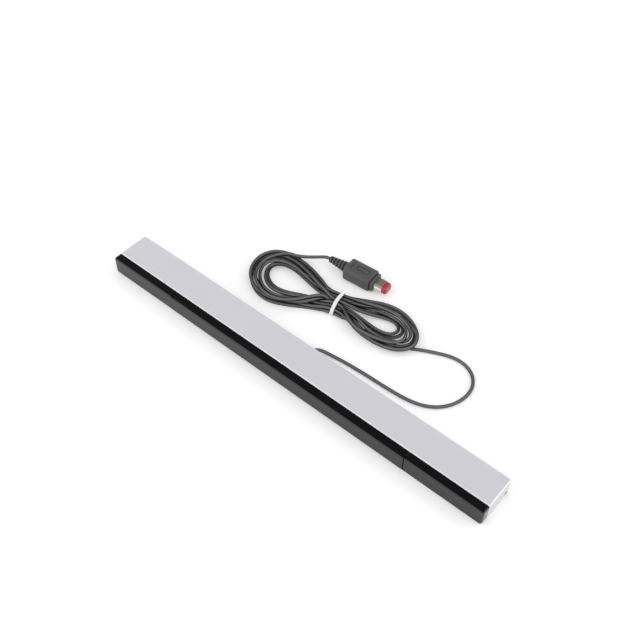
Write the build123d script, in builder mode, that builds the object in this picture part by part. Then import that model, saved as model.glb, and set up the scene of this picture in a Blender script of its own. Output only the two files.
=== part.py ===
from build123d import *
import os
from math import atan2, ceil, cos, degrees, pi, radians, sin, tan

# A wired infrared sensor bar for a game console, with its cord tied in a hank.
# Millimetres. The bar stands on its feet at z = 0, its length lies along X, its
# dark windows face -Y, and the cord leaves the middle of its rear wall.

os.makedirs("parts", exist_ok=True)

# Bar: the driving sizes
bar_length = 240.0
bar_depth = 23.0
shell_height = 10.0
foot_rise = 0.5

# Shell walls
shell_wall = 1.5
floor_wall = 1.5
fit_gap = 0.1
overrun = 1.0

# Dark front strip, which is two windows and a centre cover
strip_depth = 4.75
strip_wall = 1.6
strip_top_wall = 1.2
strip_edge_radius = 0.9
strip_end_radius = 1.2
window_length = 43.8
seam_gap = 0.35
cover_proud = 0.28
lip_height = 0.6
lip_setback = 0.15

bar_end = bar_length / 2
front_y = -bar_depth / 2
rear_y = bar_depth / 2
under_z = foot_rise
top_z = foot_rise + shell_height
strip_rear_y = front_y + strip_depth
strip_bottom_z = under_z + lip_height + fit_gap
seam_x = bar_end - window_length
floor_top_z = under_z + floor_wall
ceiling_z = top_z - shell_wall
inner_rear_y = rear_y - shell_wall
inner_end_x = bar_end - shell_wall

# Upper shell details
top_edge_radius = 0.7
front_bevel = 0.6
rear_corner_radius = 1.2
ledge_reach = 1.6
ledge_root = 2.2
ledge_wall = 1.0
rib_wall = 1.0
rib_height = 1.4
rib_count = 5
rib_span = 120.0
latch_length = 3.2
latch_depth = 2.1
latch_height = 2.4
latch_setback = 0.15

# Flats on small round features, to keep them light
small_sides = 8
round_sides = 12

# Screws that hold the two shells together
screw_xs_share = (-0.19, 0.19)
screw_y = 5.9
screw_shank_radius = 1.0
screw_length = 6.4
screw_head_radius = 2.1
screw_head_height = 1.4
screw_pad_width = 6.4
screw_pad_height = 1.5
screw_recess = 1.9
screw_post_radius = 2.6

# Feet
foot_length = 22.0
foot_width = 8.0
foot_corner = 2.0
foot_recess = 0.4
foot_end_inset = 22.0
foot_y = 1.5

# Boards that carry the infrared LEDs
board_length = 35.0
board_depth = 9.6
board_wall = 1.2
board_inset = 1.6
board_y = -0.6
post_radius = 2.0
peg_radius = 0.95
peg_rise = 0.7
peg_inset = 4.0
peg_y = 6.4

# Infrared LEDs
led_count = 5
led_end_inset = 4.5
led_radius = 2.5
led_barrel = 5.4
led_rim_radius = 2.85
led_rim = 1.0
led_dome_degs = (0.0, 40.0, 75.0)
led_window_gap = 0.45
led_fan_deg = 9.0
leg_size = 0.6
leg_spread = 1.27
leg_reach = 2.2
leg_drop = 0.55

# Series resistors, flat chips with metal ends
resistor_length = 3.2
resistor_width = 1.6
resistor_height = 0.6
resistor_cap = 0.5
resistor_cap_rise = 0.06
resistor_y = 5.6

# Wires inside the bar
wire_radius = 0.42
wire_sides = 4
wire_split = 0.45
wire_bend = 1.6
wire_clear = 0.2
lead_wire_y = 1.9
wire_run_in = 4.0
wire_rise = 1.0
wire_overlap = 2.2
clip_wall = 0.8
clip_length = 2.0
clip_height = 1.6
clip_count = 3
clip_walls = 3

# Cord
cord_diameter = 1.8
cord_sides = 5
cord_radius = cord_diameter / 2
cord_bend_share = 0.45
hank_run_in = 4.5
hank_run_out = 2.8
boot_run_in = 2.0

# Cord outlet in the rear wall
gland_x = 0.0
gland_z = 3.0
gland_nose = 1.0
gland_nose_radius = 1.6
gland_nose_taper = 16.0
gland_neck_width = 3.2
gland_flange_width = 5.0
gland_flange = 1.2
gland_corner = 0.7
gland_rise = 1.5

# Clamp on the cord inside the bar
clamp_length = 9.0
clamp_width = 3.0
clamp_wall = 1.2
clamp_y = 6.2
clamp_post_radius = 1.6
clamp_corner = 0.8
clamp_post_spread = 3.0
clamp_screw_radius = 0.7
clamp_screw_head_radius = 1.3
clamp_screw_head = 0.9
clamp_screw_length = 2.6
tail_end_y = 4.4

# Hank: two piled layers of loops, tied at the waist
loops_per_layer = 4
strand_pitch = 2.27
layer_pitch = 2.27
hank_lift = 0.5
tie_x = -10.5
tie_y = 47.0
waist_turn_deg = 15.0
waist_run = 9.0
left_lobe_x = -49.5
left_lobe_y = 42.6
left_lobe_radius = 9.5
right_lobe_x = 23.0
right_lobe_y = 52.4
right_lobe_radius = 6.3
hank_start_deg = -40.0
hank_end_deg = 98.0
gap_step = 0.6

# Plug's place and turn, at the tip of its boot
plug_x = -33.8
plug_y = 69.6
plug_turn_deg = 4.0

# Tie
tie_width = 2.2
tie_wall = 0.45
tie_gap = 0.04
tie_corner = 0.5

# Plug
boot_length = 11.8
boot_tip_radius = 1.75
boot_root_radius = 2.75
boot_ribs = 5
boot_groove = 0.6
boot_crest_share = 0.7
boot_base = 1.4
plug_length = 16.6
plug_width = 11.2
plug_height = 8.6
plug_chamfer = 1.3
plug_rim = 0.35
collar_length = 2.0
collar_inset = 0.9
panel_length = 8.0
panel_width = 3.0
panel_depth = 0.3
panel_line = 0.45
panel_corner = 0.9
panel_forward = 1.6
grip_length = 3.6
grip_width = 0.6
grip_back = 5.6
tongue_length = 5.2
tongue_width = 6.0
tongue_height = 4.2
tongue_edge = 0.5
contact_wall = 0.35
contact_height = 3.2
contact_slit = 0.35
contact_slit_share = 0.28
tip_length = 2.7
tip_width = 6.6
tip_height = 4.8
tip_chamfer = 1.1
tip_nose = 0.6


# Upper shell: a long tray upside down, open in front for the dark strip
with BuildPart() as upper_shell:
    with BuildSketch(Plane.XY.offset(under_z)):
        with Locations((0, strip_rear_y)):
            Rectangle(bar_length, rear_y - strip_rear_y, align=(Align.CENTER, Align.MIN))
    extrude(amount=shell_height)
    rear_corners = upper_shell.edges().filter_by(Axis.Z).group_by(Axis.Y)[-1]
    fillet(rear_corners, radius=rear_corner_radius)
    top_edges = upper_shell.faces().sort_by(Axis.Z)[-1].edges()
    chamfer(top_edges.filter_by(Axis.X).sort_by(Axis.Y)[0], length=front_bevel)
    top_edges = upper_shell.faces().sort_by(Axis.Z)[-1].edges()
    front_edge = top_edges.filter_by(Axis.X).sort_by(Axis.Y)[0]
    fillet([edge for edge in top_edges if edge != front_edge], radius=top_edge_radius)
    with BuildSketch(Plane.XY.offset(under_z)):
        with Locations((0, inner_rear_y)):
            Rectangle(
                bar_length - 2 * shell_wall,
                bar_depth,
                align=(Align.CENTER, Align.MAX),
            )
    extrude(amount=shell_height - shell_wall, mode=Mode.SUBTRACT)
    # The ledge under the rear edge of the dark strip
    ledge_end_x = bar_end - strip_wall - fit_gap
    with BuildSketch(Plane.YZ.offset(-ledge_end_x)):
        with Locations((strip_rear_y - ledge_reach, top_z - strip_top_wall - ledge_wall)):
            Rectangle(
                ledge_reach + ledge_root,
                ledge_wall,
                align=(Align.MIN, Align.MIN),
            )
    extrude(amount=2 * ledge_end_x)
    # Ribs across the ceiling
    with BuildSketch(Plane.XY.offset(ceiling_z)):
        with Locations((0, (strip_rear_y + ledge_root + inner_rear_y) / 2)):
            with GridLocations(rib_span / (rib_count - 1), 0, rib_count, 1):
                Rectangle(rib_wall, inner_rear_y - strip_rear_y - ledge_root)
    extrude(amount=-rib_height)
    # Posts for the housing screws
    post_foot_z = floor_top_z + screw_pad_height
    screw_places = [(share * bar_length, screw_y) for share in screw_xs_share]
    with BuildSketch(Plane.XY.offset(post_foot_z)):
        with Locations(screw_places):
            RegularPolygon(screw_post_radius, small_sides)
    extrude(amount=ceiling_z - post_foot_z)
    with BuildSketch(Plane.XY.offset(post_foot_z)):
        with Locations(screw_places):
            RegularPolygon(screw_shank_radius, small_sides, major_radius=False)
    bore_top_z = under_z + screw_recess + screw_length
    extrude(amount=bore_top_z - post_foot_z, mode=Mode.SUBTRACT)
    # The slot in the rear wall that the cord outlet sits in
    with BuildSketch(Plane.XZ.offset(-inner_rear_y + overrun)):
        with Locations((gland_x, under_z - overrun)):
            Rectangle(
                gland_neck_width + 2 * fit_gap,
                gland_z + gland_rise + fit_gap - under_z + overrun,
                align=(Align.CENTER, Align.MIN),
            )
    extrude(amount=-shell_wall - 2 * overrun, mode=Mode.SUBTRACT)
    # A slot at the rear of each end wall, where a latch of the lower housing shows
    with BuildSketch(Plane.YZ.offset(-bar_end - overrun)):
        with Locations((inner_rear_y, under_z - overrun)):
            Rectangle(
                latch_depth,
                latch_height + overrun,
                align=(Align.MAX, Align.MIN),
            )
    extrude(amount=bar_length + 2 * overrun, mode=Mode.SUBTRACT)
upper_shell.part.label = "upper_shell"
export_step(upper_shell.part, "parts/upper_shell.step")

# Lower housing: the floor, with the lip below the dark strip
housing_front_y = front_y + strip_wall + fit_gap
housing_rear_y = inner_rear_y - fit_gap
housing_end_x = bar_end - strip_wall - fit_gap
led_z = (strip_bottom_z + top_z) / 2 - led_rim / 2
board_top_z = led_z - leg_drop
board_under_z = board_top_z - board_wall
board_outer_x = inner_end_x - board_inset
board_mid_x = board_outer_x - board_length / 2
board_front_y = board_y
peg_places = [
    (side * (board_mid_x + end * (board_length / 2 - peg_inset)), peg_y)
    for side in (-1, 1)
    for end in (-1, 1)
]
clamp_top_z = gland_z + cord_radius
wire_lane = 2 * (wire_radius + wire_clear) + clip_wall
link_wire_y = lead_wire_y - wire_lane
with BuildPart() as lower_housing:
    with BuildSketch(Plane.XY.offset(under_z)):
        with Locations((0, housing_front_y)):
            Rectangle(
                2 * housing_end_x,
                housing_rear_y - housing_front_y,
                align=(Align.CENTER, Align.MIN),
            )
    extrude(amount=floor_wall)
    with BuildSketch(Plane.XY.offset(under_z)):
        with Locations((0, front_y + lip_setback)):
            Rectangle(
                bar_length - 2 * lip_setback,
                strip_depth - lip_setback - fit_gap,
                align=(Align.CENTER, Align.MIN),
            )
    extrude(amount=lip_height)
    # Latches that show in the end walls' slots
    with BuildSketch(Plane.XY.offset(under_z)):
        for side in (-1, 1):
            with Locations((side * (bar_end - latch_setback), housing_rear_y)):
                Rectangle(
                    latch_length,
                    latch_depth - 2 * fit_gap,
                    align=(Align.MIN if side < 0 else Align.MAX, Align.MAX),
                )
    extrude(amount=latch_height - fit_gap)
    lip_corners = lower_housing.edges().filter_by(Axis.Z).group_by(Axis.Y)[0]
    fillet(lip_corners, radius=strip_end_radius)
    # A rail behind the windows' front wall
    with BuildSketch(Plane.XY.offset(floor_top_z)):
        with Locations((0, housing_front_y)):
            Rectangle(
                2 * (inner_end_x - board_inset),
                ledge_wall,
                align=(Align.CENTER, Align.MIN),
            )
    extrude(amount=rib_height)
    # Pads for the housing screws, counterbored from below
    with BuildSketch(Plane.XY.offset(floor_top_z)):
        with Locations(screw_places):
            Rectangle(screw_pad_width, screw_pad_width)
    extrude(amount=screw_pad_height)
    with BuildSketch(Plane.XY.offset(under_z)):
        with Locations(screw_places):
            Circle(screw_head_radius + fit_gap)
    extrude(amount=screw_recess, mode=Mode.SUBTRACT)
    with BuildSketch(Plane.XY.offset(under_z)):
        with Locations(screw_places):
            RegularPolygon(screw_shank_radius + fit_gap, small_sides, major_radius=False)
    extrude(amount=floor_wall + screw_pad_height, mode=Mode.SUBTRACT)
    # Posts and pegs that carry the boards
    with BuildSketch(Plane.XY.offset(floor_top_z)):
        with Locations(peg_places):
            RegularPolygon(post_radius, small_sides)
    extrude(amount=board_under_z - floor_top_z)
    with BuildSketch(Plane.XY.offset(board_under_z)):
        with Locations(peg_places):
            RegularPolygon(peg_radius, small_sides)
    extrude(amount=board_wall + peg_rise)
    # Posts for the cord clamp: one takes its screw, the other its peg
    with BuildSketch(Plane.XY.offset(floor_top_z)):
        with Locations((gland_x, clamp_y)):
            with GridLocations(2 * clamp_post_spread, 0, 2, 1):
                RegularPolygon(clamp_post_radius, small_sides)
    extrude(amount=clamp_top_z - floor_top_z)
    with BuildSketch(Plane.XY.offset(clamp_top_z)):
        with Locations((gland_x - clamp_post_spread, clamp_y)):
            RegularPolygon(clamp_screw_radius, small_sides)
    extrude(amount=clamp_wall)
    with BuildSketch(Plane.XY.offset(clamp_top_z)):
        with Locations((gland_x + clamp_post_spread, clamp_y)):
            RegularPolygon(clamp_screw_radius, small_sides, major_radius=False)
    extrude(amount=clamp_wall - clamp_screw_length, mode=Mode.SUBTRACT)
    # Small walls on each side of the two lanes of wire, to keep the wires in place
    with BuildSketch(Plane.XY.offset(floor_top_z)):
        for side in (-1, 1):
            for number in range(clip_count):
                clip_x = side * seam_x * (number + 1) / (clip_count + 1)
                with Locations((clip_x, (lead_wire_y + link_wire_y) / 2)):
                    with GridLocations(0, wire_lane, 1, clip_walls):
                        Rectangle(clip_length, clip_wall)
    extrude(amount=clip_height)
    # The pocket for the flange of the cord outlet
    with BuildSketch(Plane.XY.offset(under_z)):
        with Locations((gland_x, housing_rear_y)):
            Rectangle(
                gland_flange_width + 2 * fit_gap,
                gland_flange + fit_gap,
                align=(Align.CENTER, Align.MAX),
            )
    extrude(amount=floor_wall + overrun, mode=Mode.SUBTRACT)
    # Recesses for the feet
    foot_x = bar_end - foot_end_inset
    with BuildSketch(Plane.XY.offset(under_z)):
        with Locations((-foot_x, foot_y), (foot_x, foot_y)):
            Rectangle(foot_length + 2 * fit_gap, foot_width + 2 * fit_gap)
        chamfer(vertices(), length=foot_corner)
    extrude(amount=foot_recess, mode=Mode.SUBTRACT)
lower_housing.part.label = "lower_housing"
export_step(lower_housing.part, "parts/lower_housing.step")

# Windows: smoked strips at both ends, each a hollow corner with a closed outer end
for side, name in ((-1, "window_left"), (1, "window_right")):
    inner_x = side * (seam_x + seam_gap / 2)
    outer_x = side * bar_end
    with BuildPart() as window:
        with BuildSketch(Plane.XY.offset(strip_bottom_z)):
            with Locations(((inner_x + outer_x) / 2, front_y)):
                Rectangle(
                    abs(outer_x - inner_x),
                    strip_depth - fit_gap,
                    align=(Align.CENTER, Align.MIN),
                )
        extrude(amount=top_z - strip_bottom_z)
        corner = window.edges().filter_by(Axis.Z).group_by(Axis.Y)[0].sort_by(Axis.X)
        fillet(corner[0 if side < 0 else -1], radius=strip_end_radius)
        top_face = window.faces().sort_by(Axis.Z)[-1]
        front_top = top_face.edges().filter_by(Axis.X).sort_by(Axis.Y)[0]
        end_top = top_face.edges().filter_by(Axis.Y).sort_by(Axis.X)[0 if side < 0 else -1]
        corner_top = top_face.edges().filter_by(GeomType.CIRCLE)
        fillet([front_top, end_top, *corner_top], radius=strip_edge_radius)
        with BuildSketch(Plane.XY.offset(strip_bottom_z)):
            with Locations((inner_x - side * overrun, front_y + strip_wall)):
                Rectangle(
                    abs(outer_x - inner_x) - strip_wall + overrun,
                    strip_depth,
                    align=(Align.MAX if side < 0 else Align.MIN, Align.MIN),
                )
        extrude(amount=top_z - strip_bottom_z - strip_top_wall, mode=Mode.SUBTRACT)
    window.part.label = name
    export_step(window.part, f"parts/{name}.step")

# Front cover: the dark middle of the strip, a hair proud of the windows
with BuildPart() as front_cover:
    with BuildSketch(Plane.XY.offset(strip_bottom_z)):
        with Locations((0, front_y - cover_proud)):
            Rectangle(
                2 * seam_x - seam_gap,
                strip_depth + cover_proud - fit_gap,
                align=(Align.CENTER, Align.MIN),
            )
    extrude(amount=top_z - strip_bottom_z)
    front_top = front_cover.faces().sort_by(Axis.Z)[-1].edges().sort_by(Axis.Y)[0]
    fillet(front_top, radius=strip_edge_radius)
    with BuildSketch(Plane.XY.offset(strip_bottom_z)):
        with Locations((0, front_y + strip_wall)):
            Rectangle(bar_length, strip_depth, align=(Align.CENTER, Align.MIN))
    extrude(amount=top_z - strip_bottom_z - strip_top_wall, mode=Mode.SUBTRACT)
front_cover.part.label = "front_cover"
export_step(front_cover.part, "parts/front_cover.step")

# Feet: two soft pads let into the underside
with BuildPart() as foot_pads:
    with BuildSketch(Plane.XY):
        with Locations((-foot_x, foot_y), (foot_x, foot_y)):
            Rectangle(foot_length, foot_width)
        chamfer(vertices(), length=foot_corner)
    extrude(amount=foot_rise + foot_recess)
foot_pads.part.label = "foot_pads"
export_step(foot_pads.part, "parts/foot_pads.step")

# Housing screws, driven up from below into the upper shell's posts
with BuildPart() as housing_screws:
    head_top_z = under_z + screw_recess
    with BuildSketch(Plane.XY.offset(head_top_z)):
        with Locations(screw_places):
            Circle(screw_head_radius)
    extrude(amount=-screw_head_height)
    with BuildSketch(Plane.XY.offset(head_top_z)):
        with Locations(screw_places):
            RegularPolygon(screw_shank_radius - fit_gap / 2, small_sides)
    extrude(amount=screw_length - fit_gap)
housing_screws.part.label = "housing_screws"
export_step(housing_screws.part, "parts/housing_screws.step")

# Boards, one behind each window, each dropped over two pegs
for side, name in ((-1, "led_board_left"), (1, "led_board_right")):
    with BuildPart() as led_board:
        with BuildSketch(Plane.XY.offset(board_under_z)):
            with Locations((side * board_mid_x, board_front_y)):
                Rectangle(board_length, board_depth, align=(Align.CENTER, Align.MIN))
            with Locations([place for place in peg_places if place[0] * side > 0]):
                RegularPolygon(peg_radius + fit_gap, small_sides, mode=Mode.SUBTRACT)
        extrude(amount=board_wall)
    led_board.part.label = name
    export_step(led_board.part, f"parts/{name}.step")

# One infrared LED: a domed epoxy body with a rim at its foot, pointing along +Z
led_length = led_barrel + led_radius
with BuildPart() as infrared_led:
    with BuildSketch():
        RegularPolygon(led_rim_radius, small_sides, major_radius=False)
    extrude(amount=led_rim)
    with BuildSketch():
        RegularPolygon(led_radius, small_sides, major_radius=False)
    extrude(amount=led_barrel)
    for low_deg, high_deg in zip(led_dome_degs, led_dome_degs[1:]):
        low_z = led_barrel + led_radius * sin(radians(low_deg))
        high_z = led_barrel + led_radius * sin(radians(high_deg))
        with BuildSketch(Plane.XY.offset(low_z)):
            RegularPolygon(led_radius * cos(radians(low_deg)), small_sides, major_radius=False)
        extrude(amount=high_z - low_z, taper=(low_deg + high_deg) / 2)

# One pair of legs: square wires that run back and bend down to the board
led_tip_y = front_y + strip_wall + led_window_gap
led_foot_y = led_tip_y + led_length
with BuildPart() as led_leg_pair:
    for spread in (-leg_spread, leg_spread):
        with BuildSketch(Plane.XY):
            with Locations((spread, 0)):
                Rectangle(leg_size, leg_size)
        extrude(amount=-leg_reach)
        with BuildSketch(Plane.XZ.offset(leg_size / 2)):
            with Locations((spread, -leg_reach)):
                Rectangle(leg_size, leg_size, align=(Align.CENTER, Align.MIN))
        extrude(amount=leg_drop - leg_size / 2)

# Five LEDs behind each window, fanned so that the outer ones look outwards
led_pitch = (board_length - 2 * led_end_inset) / (led_count - 1)
for side, word in ((-1, "left"), (1, "right")):
    seats = []
    for number in range(led_count):
        from_middle = number - (led_count - 1) / 2
        turn = radians(from_middle * led_fan_deg)
        seats.append(
            Plane(
                (side * board_mid_x + from_middle * led_pitch, led_foot_y, led_z),
                x_dir=(cos(turn), sin(turn), 0),
                z_dir=(sin(turn), -cos(turn), 0),
            )
        )
    with BuildPart() as ir_leds:
        with Locations(seats):
            add(infrared_led.part)
    ir_leds.part.label = f"ir_leds_{word}"
    export_step(ir_leds.part, f"parts/ir_leds_{word}.step")
    with BuildPart() as led_legs:
        with Locations(seats):
            add(led_leg_pair.part)
    led_legs.part.label = f"led_legs_{word}"
    export_step(led_legs.part, f"parts/led_legs_{word}.step")

# A series resistor on each board: a flat chip between two metal ends
with BuildPart() as resistors:
    for side in (-1, 1):
        with BuildSketch(Plane.XY.offset(board_top_z)):
            with Locations((side * board_mid_x, resistor_y)):
                Rectangle(resistor_length, resistor_width)
        extrude(amount=resistor_height)
        with BuildSketch(Plane.XY.offset(board_top_z)):
            with Locations((side * board_mid_x, resistor_y)):
                with GridLocations(resistor_length - resistor_cap, 0, 2, 1):
                    Rectangle(resistor_cap, resistor_width + 2 * resistor_cap_rise)
        extrude(amount=resistor_height + resistor_cap_rise)
resistors.part.label = "resistors"
export_step(resistors.part, "parts/resistors.step")


def wire_between(points):
    """A round wire along straight runs, with its bends all alike."""
    with BuildPart() as wire:
        with BuildLine() as path:
            FilletPolyline(*points, radius=wire_bend)
        route = path.wires()[0]
        with BuildSketch(Plane(route @ 0, z_dir=route % 0)):
            RegularPolygon(wire_radius, wire_sides)
        sweep(path=route)
    return wire.part


# The cord's tail inside the bar, from its outlet to just past the clamp
outlet_y = housing_rear_y
with BuildPart() as cord_tail:
    with BuildSketch(Plane.XZ.offset(gland_flange - outlet_y)):
        with Locations((gland_x, gland_z)):
            RegularPolygon(cord_radius, cord_sides)
    extrude(amount=outlet_y - gland_flange - tail_end_y)
cord_tail.part.label = "cord_tail"
export_step(cord_tail.part, "parts/cord_tail.step")


# Lead wires from the cord to both boards, and a link wire between the boards
wire_z = floor_top_z + wire_clear + wire_radius
pad_z = board_top_z + wire_radius
pad_x = board_mid_x - board_length / 2 + wire_overlap
climb_top_x = pad_x - wire_overlap - wire_rise
climb_foot_x = climb_top_x - (pad_z - wire_z)
with BuildPart() as lead_wires:
    for side in (-1, 1):
        start_x = gland_x + side * wire_split
        add(
            wire_between(
                [
                    (start_x, tail_end_y, gland_z),
                    (start_x, lead_wire_y, gland_z),
                    (start_x + side * wire_run_in, lead_wire_y, wire_z),
                    (side * climb_foot_x, lead_wire_y, wire_z),
                    (side * climb_top_x, lead_wire_y, pad_z),
                    (side * pad_x, lead_wire_y, pad_z),
                ]
            )
        )
lead_wires.part.label = "lead_wires"
export_step(lead_wires.part, "parts/lead_wires.step")

with BuildPart() as link_wire:
    add(
        wire_between(
            [
                (-pad_x, link_wire_y, pad_z),
                (-climb_top_x, link_wire_y, pad_z),
                (-climb_foot_x, link_wire_y, wire_z),
                (climb_foot_x, link_wire_y, wire_z),
                (climb_top_x, link_wire_y, pad_z),
                (pad_x, link_wire_y, pad_z),
            ]
        )
    )
link_wire.part.label = "link_wire"
export_step(link_wire.part, "parts/link_wire.step")

# Clamp that holds the cord down, between a peg and a screw
with BuildPart() as cord_clamp:
    with BuildSketch(Plane.XY.offset(clamp_top_z)):
        with Locations((gland_x, clamp_y)):
            Rectangle(clamp_length, clamp_width)
            chamfer(vertices(), length=clamp_corner)
            with GridLocations(2 * clamp_post_spread, 0, 2, 1):
                RegularPolygon(
                    clamp_screw_radius + fit_gap,
                    small_sides,
                    mode=Mode.SUBTRACT,
                )
    extrude(amount=clamp_wall)
cord_clamp.part.label = "cord_clamp"
export_step(cord_clamp.part, "parts/cord_clamp.step")

with BuildPart() as clamp_screw:
    with BuildSketch(Plane.XY.offset(clamp_top_z + clamp_wall)):
        with Locations((gland_x + clamp_post_spread, clamp_y)):
            Circle(clamp_screw_head_radius)
    extrude(amount=clamp_screw_head)
    with BuildSketch(Plane.XY.offset(clamp_top_z + clamp_wall)):
        with Locations((gland_x + clamp_post_spread, clamp_y)):
            RegularPolygon(clamp_screw_radius - fit_gap / 2, small_sides)
    extrude(amount=-clamp_screw_length + fit_gap)
clamp_screw.part.label = "clamp_screw"
export_step(clamp_screw.part, "parts/clamp_screw.step")

# Cord outlet: a flange inside the wall, a neck in its slot and a short nose outside
with BuildPart() as cord_gland:
    gland_foot_z = under_z + fit_gap
    gland_top_z = gland_z + gland_rise
    gland_middle_z = (gland_foot_z + gland_top_z) / 2
    with BuildSketch(Plane.XZ.offset(-outlet_y)):
        with Locations((gland_x, gland_middle_z)):
            Rectangle(gland_flange_width, gland_top_z - gland_foot_z)
            chamfer(vertices(), length=gland_corner)
    extrude(amount=gland_flange)
    with BuildSketch(Plane.XZ.offset(-rear_y)):
        with Locations((gland_x, gland_middle_z)):
            Rectangle(gland_neck_width, gland_top_z - gland_foot_z)
            chamfer(vertices(), length=gland_corner)
    extrude(amount=rear_y - outlet_y)
    with BuildSketch(Plane.XZ.offset(-rear_y)):
        with Locations((gland_x, gland_z)):
            RegularPolygon(gland_nose_radius, round_sides)
    extrude(amount=-gland_nose, taper=gland_nose_taper)
cord_gland.part.label = "cord_gland"
export_step(cord_gland.part, "parts/cord_gland.step")

# The hank, worked out from its two lobes and its waist.
# Seen from above it runs clockwise. The lower layer starts outside on the right
# lobe and spirals in. The last strand climbs at the waist, and the upper layer
# spirals out again and ends outside on the left lobe.
waist_angle = radians(waist_turn_deg)
waist_along = Vector(cos(waist_angle), sin(waist_angle), 0)
waist_across = Vector(-sin(waist_angle), cos(waist_angle), 0)
tie_middle = Vector(tie_x, tie_y, 0)
lower_z = hank_lift + cord_radius
upper_z = lower_z + layer_pitch
turns_per_layer = 2 * loops_per_layer
lobes = (
    (Vector(right_lobe_x, right_lobe_y, 0), right_lobe_radius),
    (Vector(left_lobe_x, left_lobe_y, 0), left_lobe_radius),
)


def half_turn(number):
    """The middle, radius and height of one half turn round a lobe."""
    in_layer = number % turns_per_layer
    is_lower = number < turns_per_layer
    steps_out = turns_per_layer - 1 - in_layer if is_lower else in_layer
    middle, least_radius = lobes[number % 2]
    radius = least_radius + steps_out * strand_pitch / 2
    return middle, radius, lower_z if is_lower else upper_z


def steps_from_core(number):
    """How many half steps a half turn lies outside the innermost one."""
    in_layer = number % turns_per_layer
    if number < turns_per_layer:
        return turns_per_layer - 1 - in_layer
    return in_layer


def waist_strand(number):
    """The start, middle and end in plan of the strand after a half turn, and its side."""
    side = -1 if number % 2 == 0 else 1
    steps = (steps_from_core(number) + steps_from_core(number + 1)) / 2
    if number == turns_per_layer - 1:
        steps -= 1 / 2
    middle = tie_middle + waist_across * side * strand_pitch * (1 + steps) / 2
    half_run = waist_along * side * waist_run / 2
    return middle - half_run, middle, middle + half_run, side


def touch(middle, radius, end, side):
    """Where an arc that leaves `end` along the waist touches a lobe's circle."""
    away = end - middle
    normal = waist_across * side
    bend = (away.dot(away) - radius * radius) / (2 * (radius - away.dot(normal)))
    toward = (end + normal * bend - middle).normalized()
    return middle + toward * radius * (1 if radius + bend > 0 else -1)


def at_height(point, height):
    """A point of the plan at a height."""
    return Vector(point.X, point.Y, height)


def on_lobe(middle, radius, angle, height):
    """The point of a lobe's circle at an angle in degrees."""
    turn = radians(angle)
    return Vector(middle.X + radius * cos(turn), middle.Y + radius * sin(turn), height)


def angle_on(middle, point):
    """The angle in degrees of a point seen from a lobe's middle."""
    return degrees(atan2(point.Y - middle.Y, point.X - middle.X))


def heading_at(angle):
    """The way that a clockwise turn runs at an angle in degrees."""
    return Vector(sin(radians(angle)), -cos(radians(angle)), 0)


last_turn = 2 * turns_per_layer - 1
with BuildPart() as cord_hank:
    with BuildLine() as hank_path:
        for number in range(last_turn + 1):
            middle, radius, height = half_turn(number)
            if number == 0:
                angle_in = hank_start_deg
                place = on_lobe(middle, radius, angle_in, height)
                Line(place - heading_at(angle_in) * cord_diameter, place)
            else:
                angle_in = angle_on(middle, touch(middle, radius, strand_end, side))
            if number == last_turn:
                angle_out = hank_end_deg
            else:
                strand_start, strand_middle, strand_end, side = waist_strand(number)
                angle_out = angle_on(middle, touch(middle, radius, strand_start, side))
            swept = (angle_in - angle_out) % 360
            first = on_lobe(middle, radius, angle_in, height)
            halfway = on_lobe(middle, radius, angle_in - swept / 2, height)
            last = on_lobe(middle, radius, angle_out, height)
            if number > 0:
                TangentArc(strand_finish, first, tangent=strand_way)
            ThreePointArc(first, halfway, last)
            if number == last_turn:
                Line(last, last + heading_at(angle_out) * cord_diameter)
                break
            next_height = half_turn(number + 1)[2]
            strand_way = waist_along * side
            strand_begin = at_height(strand_start, height)
            strand_finish = at_height(strand_end, next_height)
            TangentArc(last, strand_begin, tangent=heading_at(angle_out))
            if next_height == height:
                Line(strand_begin, strand_finish)
            else:
                crest = at_height(strand_middle, (height + next_height) / 2)
                rise = TangentArc(strand_begin, crest, tangent=strand_way)
                TangentArc(crest, strand_finish, tangent=rise % 1)
    hank_wire = hank_path.wires()[0]
    with BuildSketch(Plane(hank_wire @ 0, x_dir=(0, 0, 1), z_dir=hank_wire % 0)):
        RegularPolygon(cord_radius, cord_sides, rotation=180 - 180 / cord_sides)
    sweep(path=hank_wire)
cord_hank.part.label = "cord_hank"
export_step(cord_hank.part, "parts/cord_hank.step")


def gap_to_itself(wire, diameter, step):
    """The least gap between stretches of a tube that lie more than 4 diameters apart."""
    count = ceil(wire.length / step)
    reach = 2 * diameter
    cells = {}
    for number in range(count + 1):
        point = wire @ (number / count)
        cell = (int(point.X // reach), int(point.Y // reach), int(point.Z // reach))
        cells.setdefault(cell, []).append((number * wire.length / count, point))
    nearest = reach
    for (i, j, k), members in cells.items():
        near = [
            entry
            for di in (-1, 0, 1)
            for dj in (-1, 0, 1)
            for dk in (-1, 0, 1)
            for entry in cells.get((i + di, j + dj, k + dk), [])
        ]
        for along, point in members:
            for other_along, other in near:
                if other_along - along > 4 * diameter:
                    nearest = min(nearest, (point - other).length)
    return nearest - diameter


section_area = cord_sides * cord_radius**2 * sin(2 * pi / cord_sides) / 2
print(
    f"hank: {hank_wire.length:.0f} mm of cord in {2 * loops_per_layer} loops,",
    f"volume over section times length {cord_hank.part.volume / section_area / hank_wire.length:.4f},",
    f"least gap to itself {gap_to_itself(hank_wire, cord_diameter, gap_step):.2f} mm",
)

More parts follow.
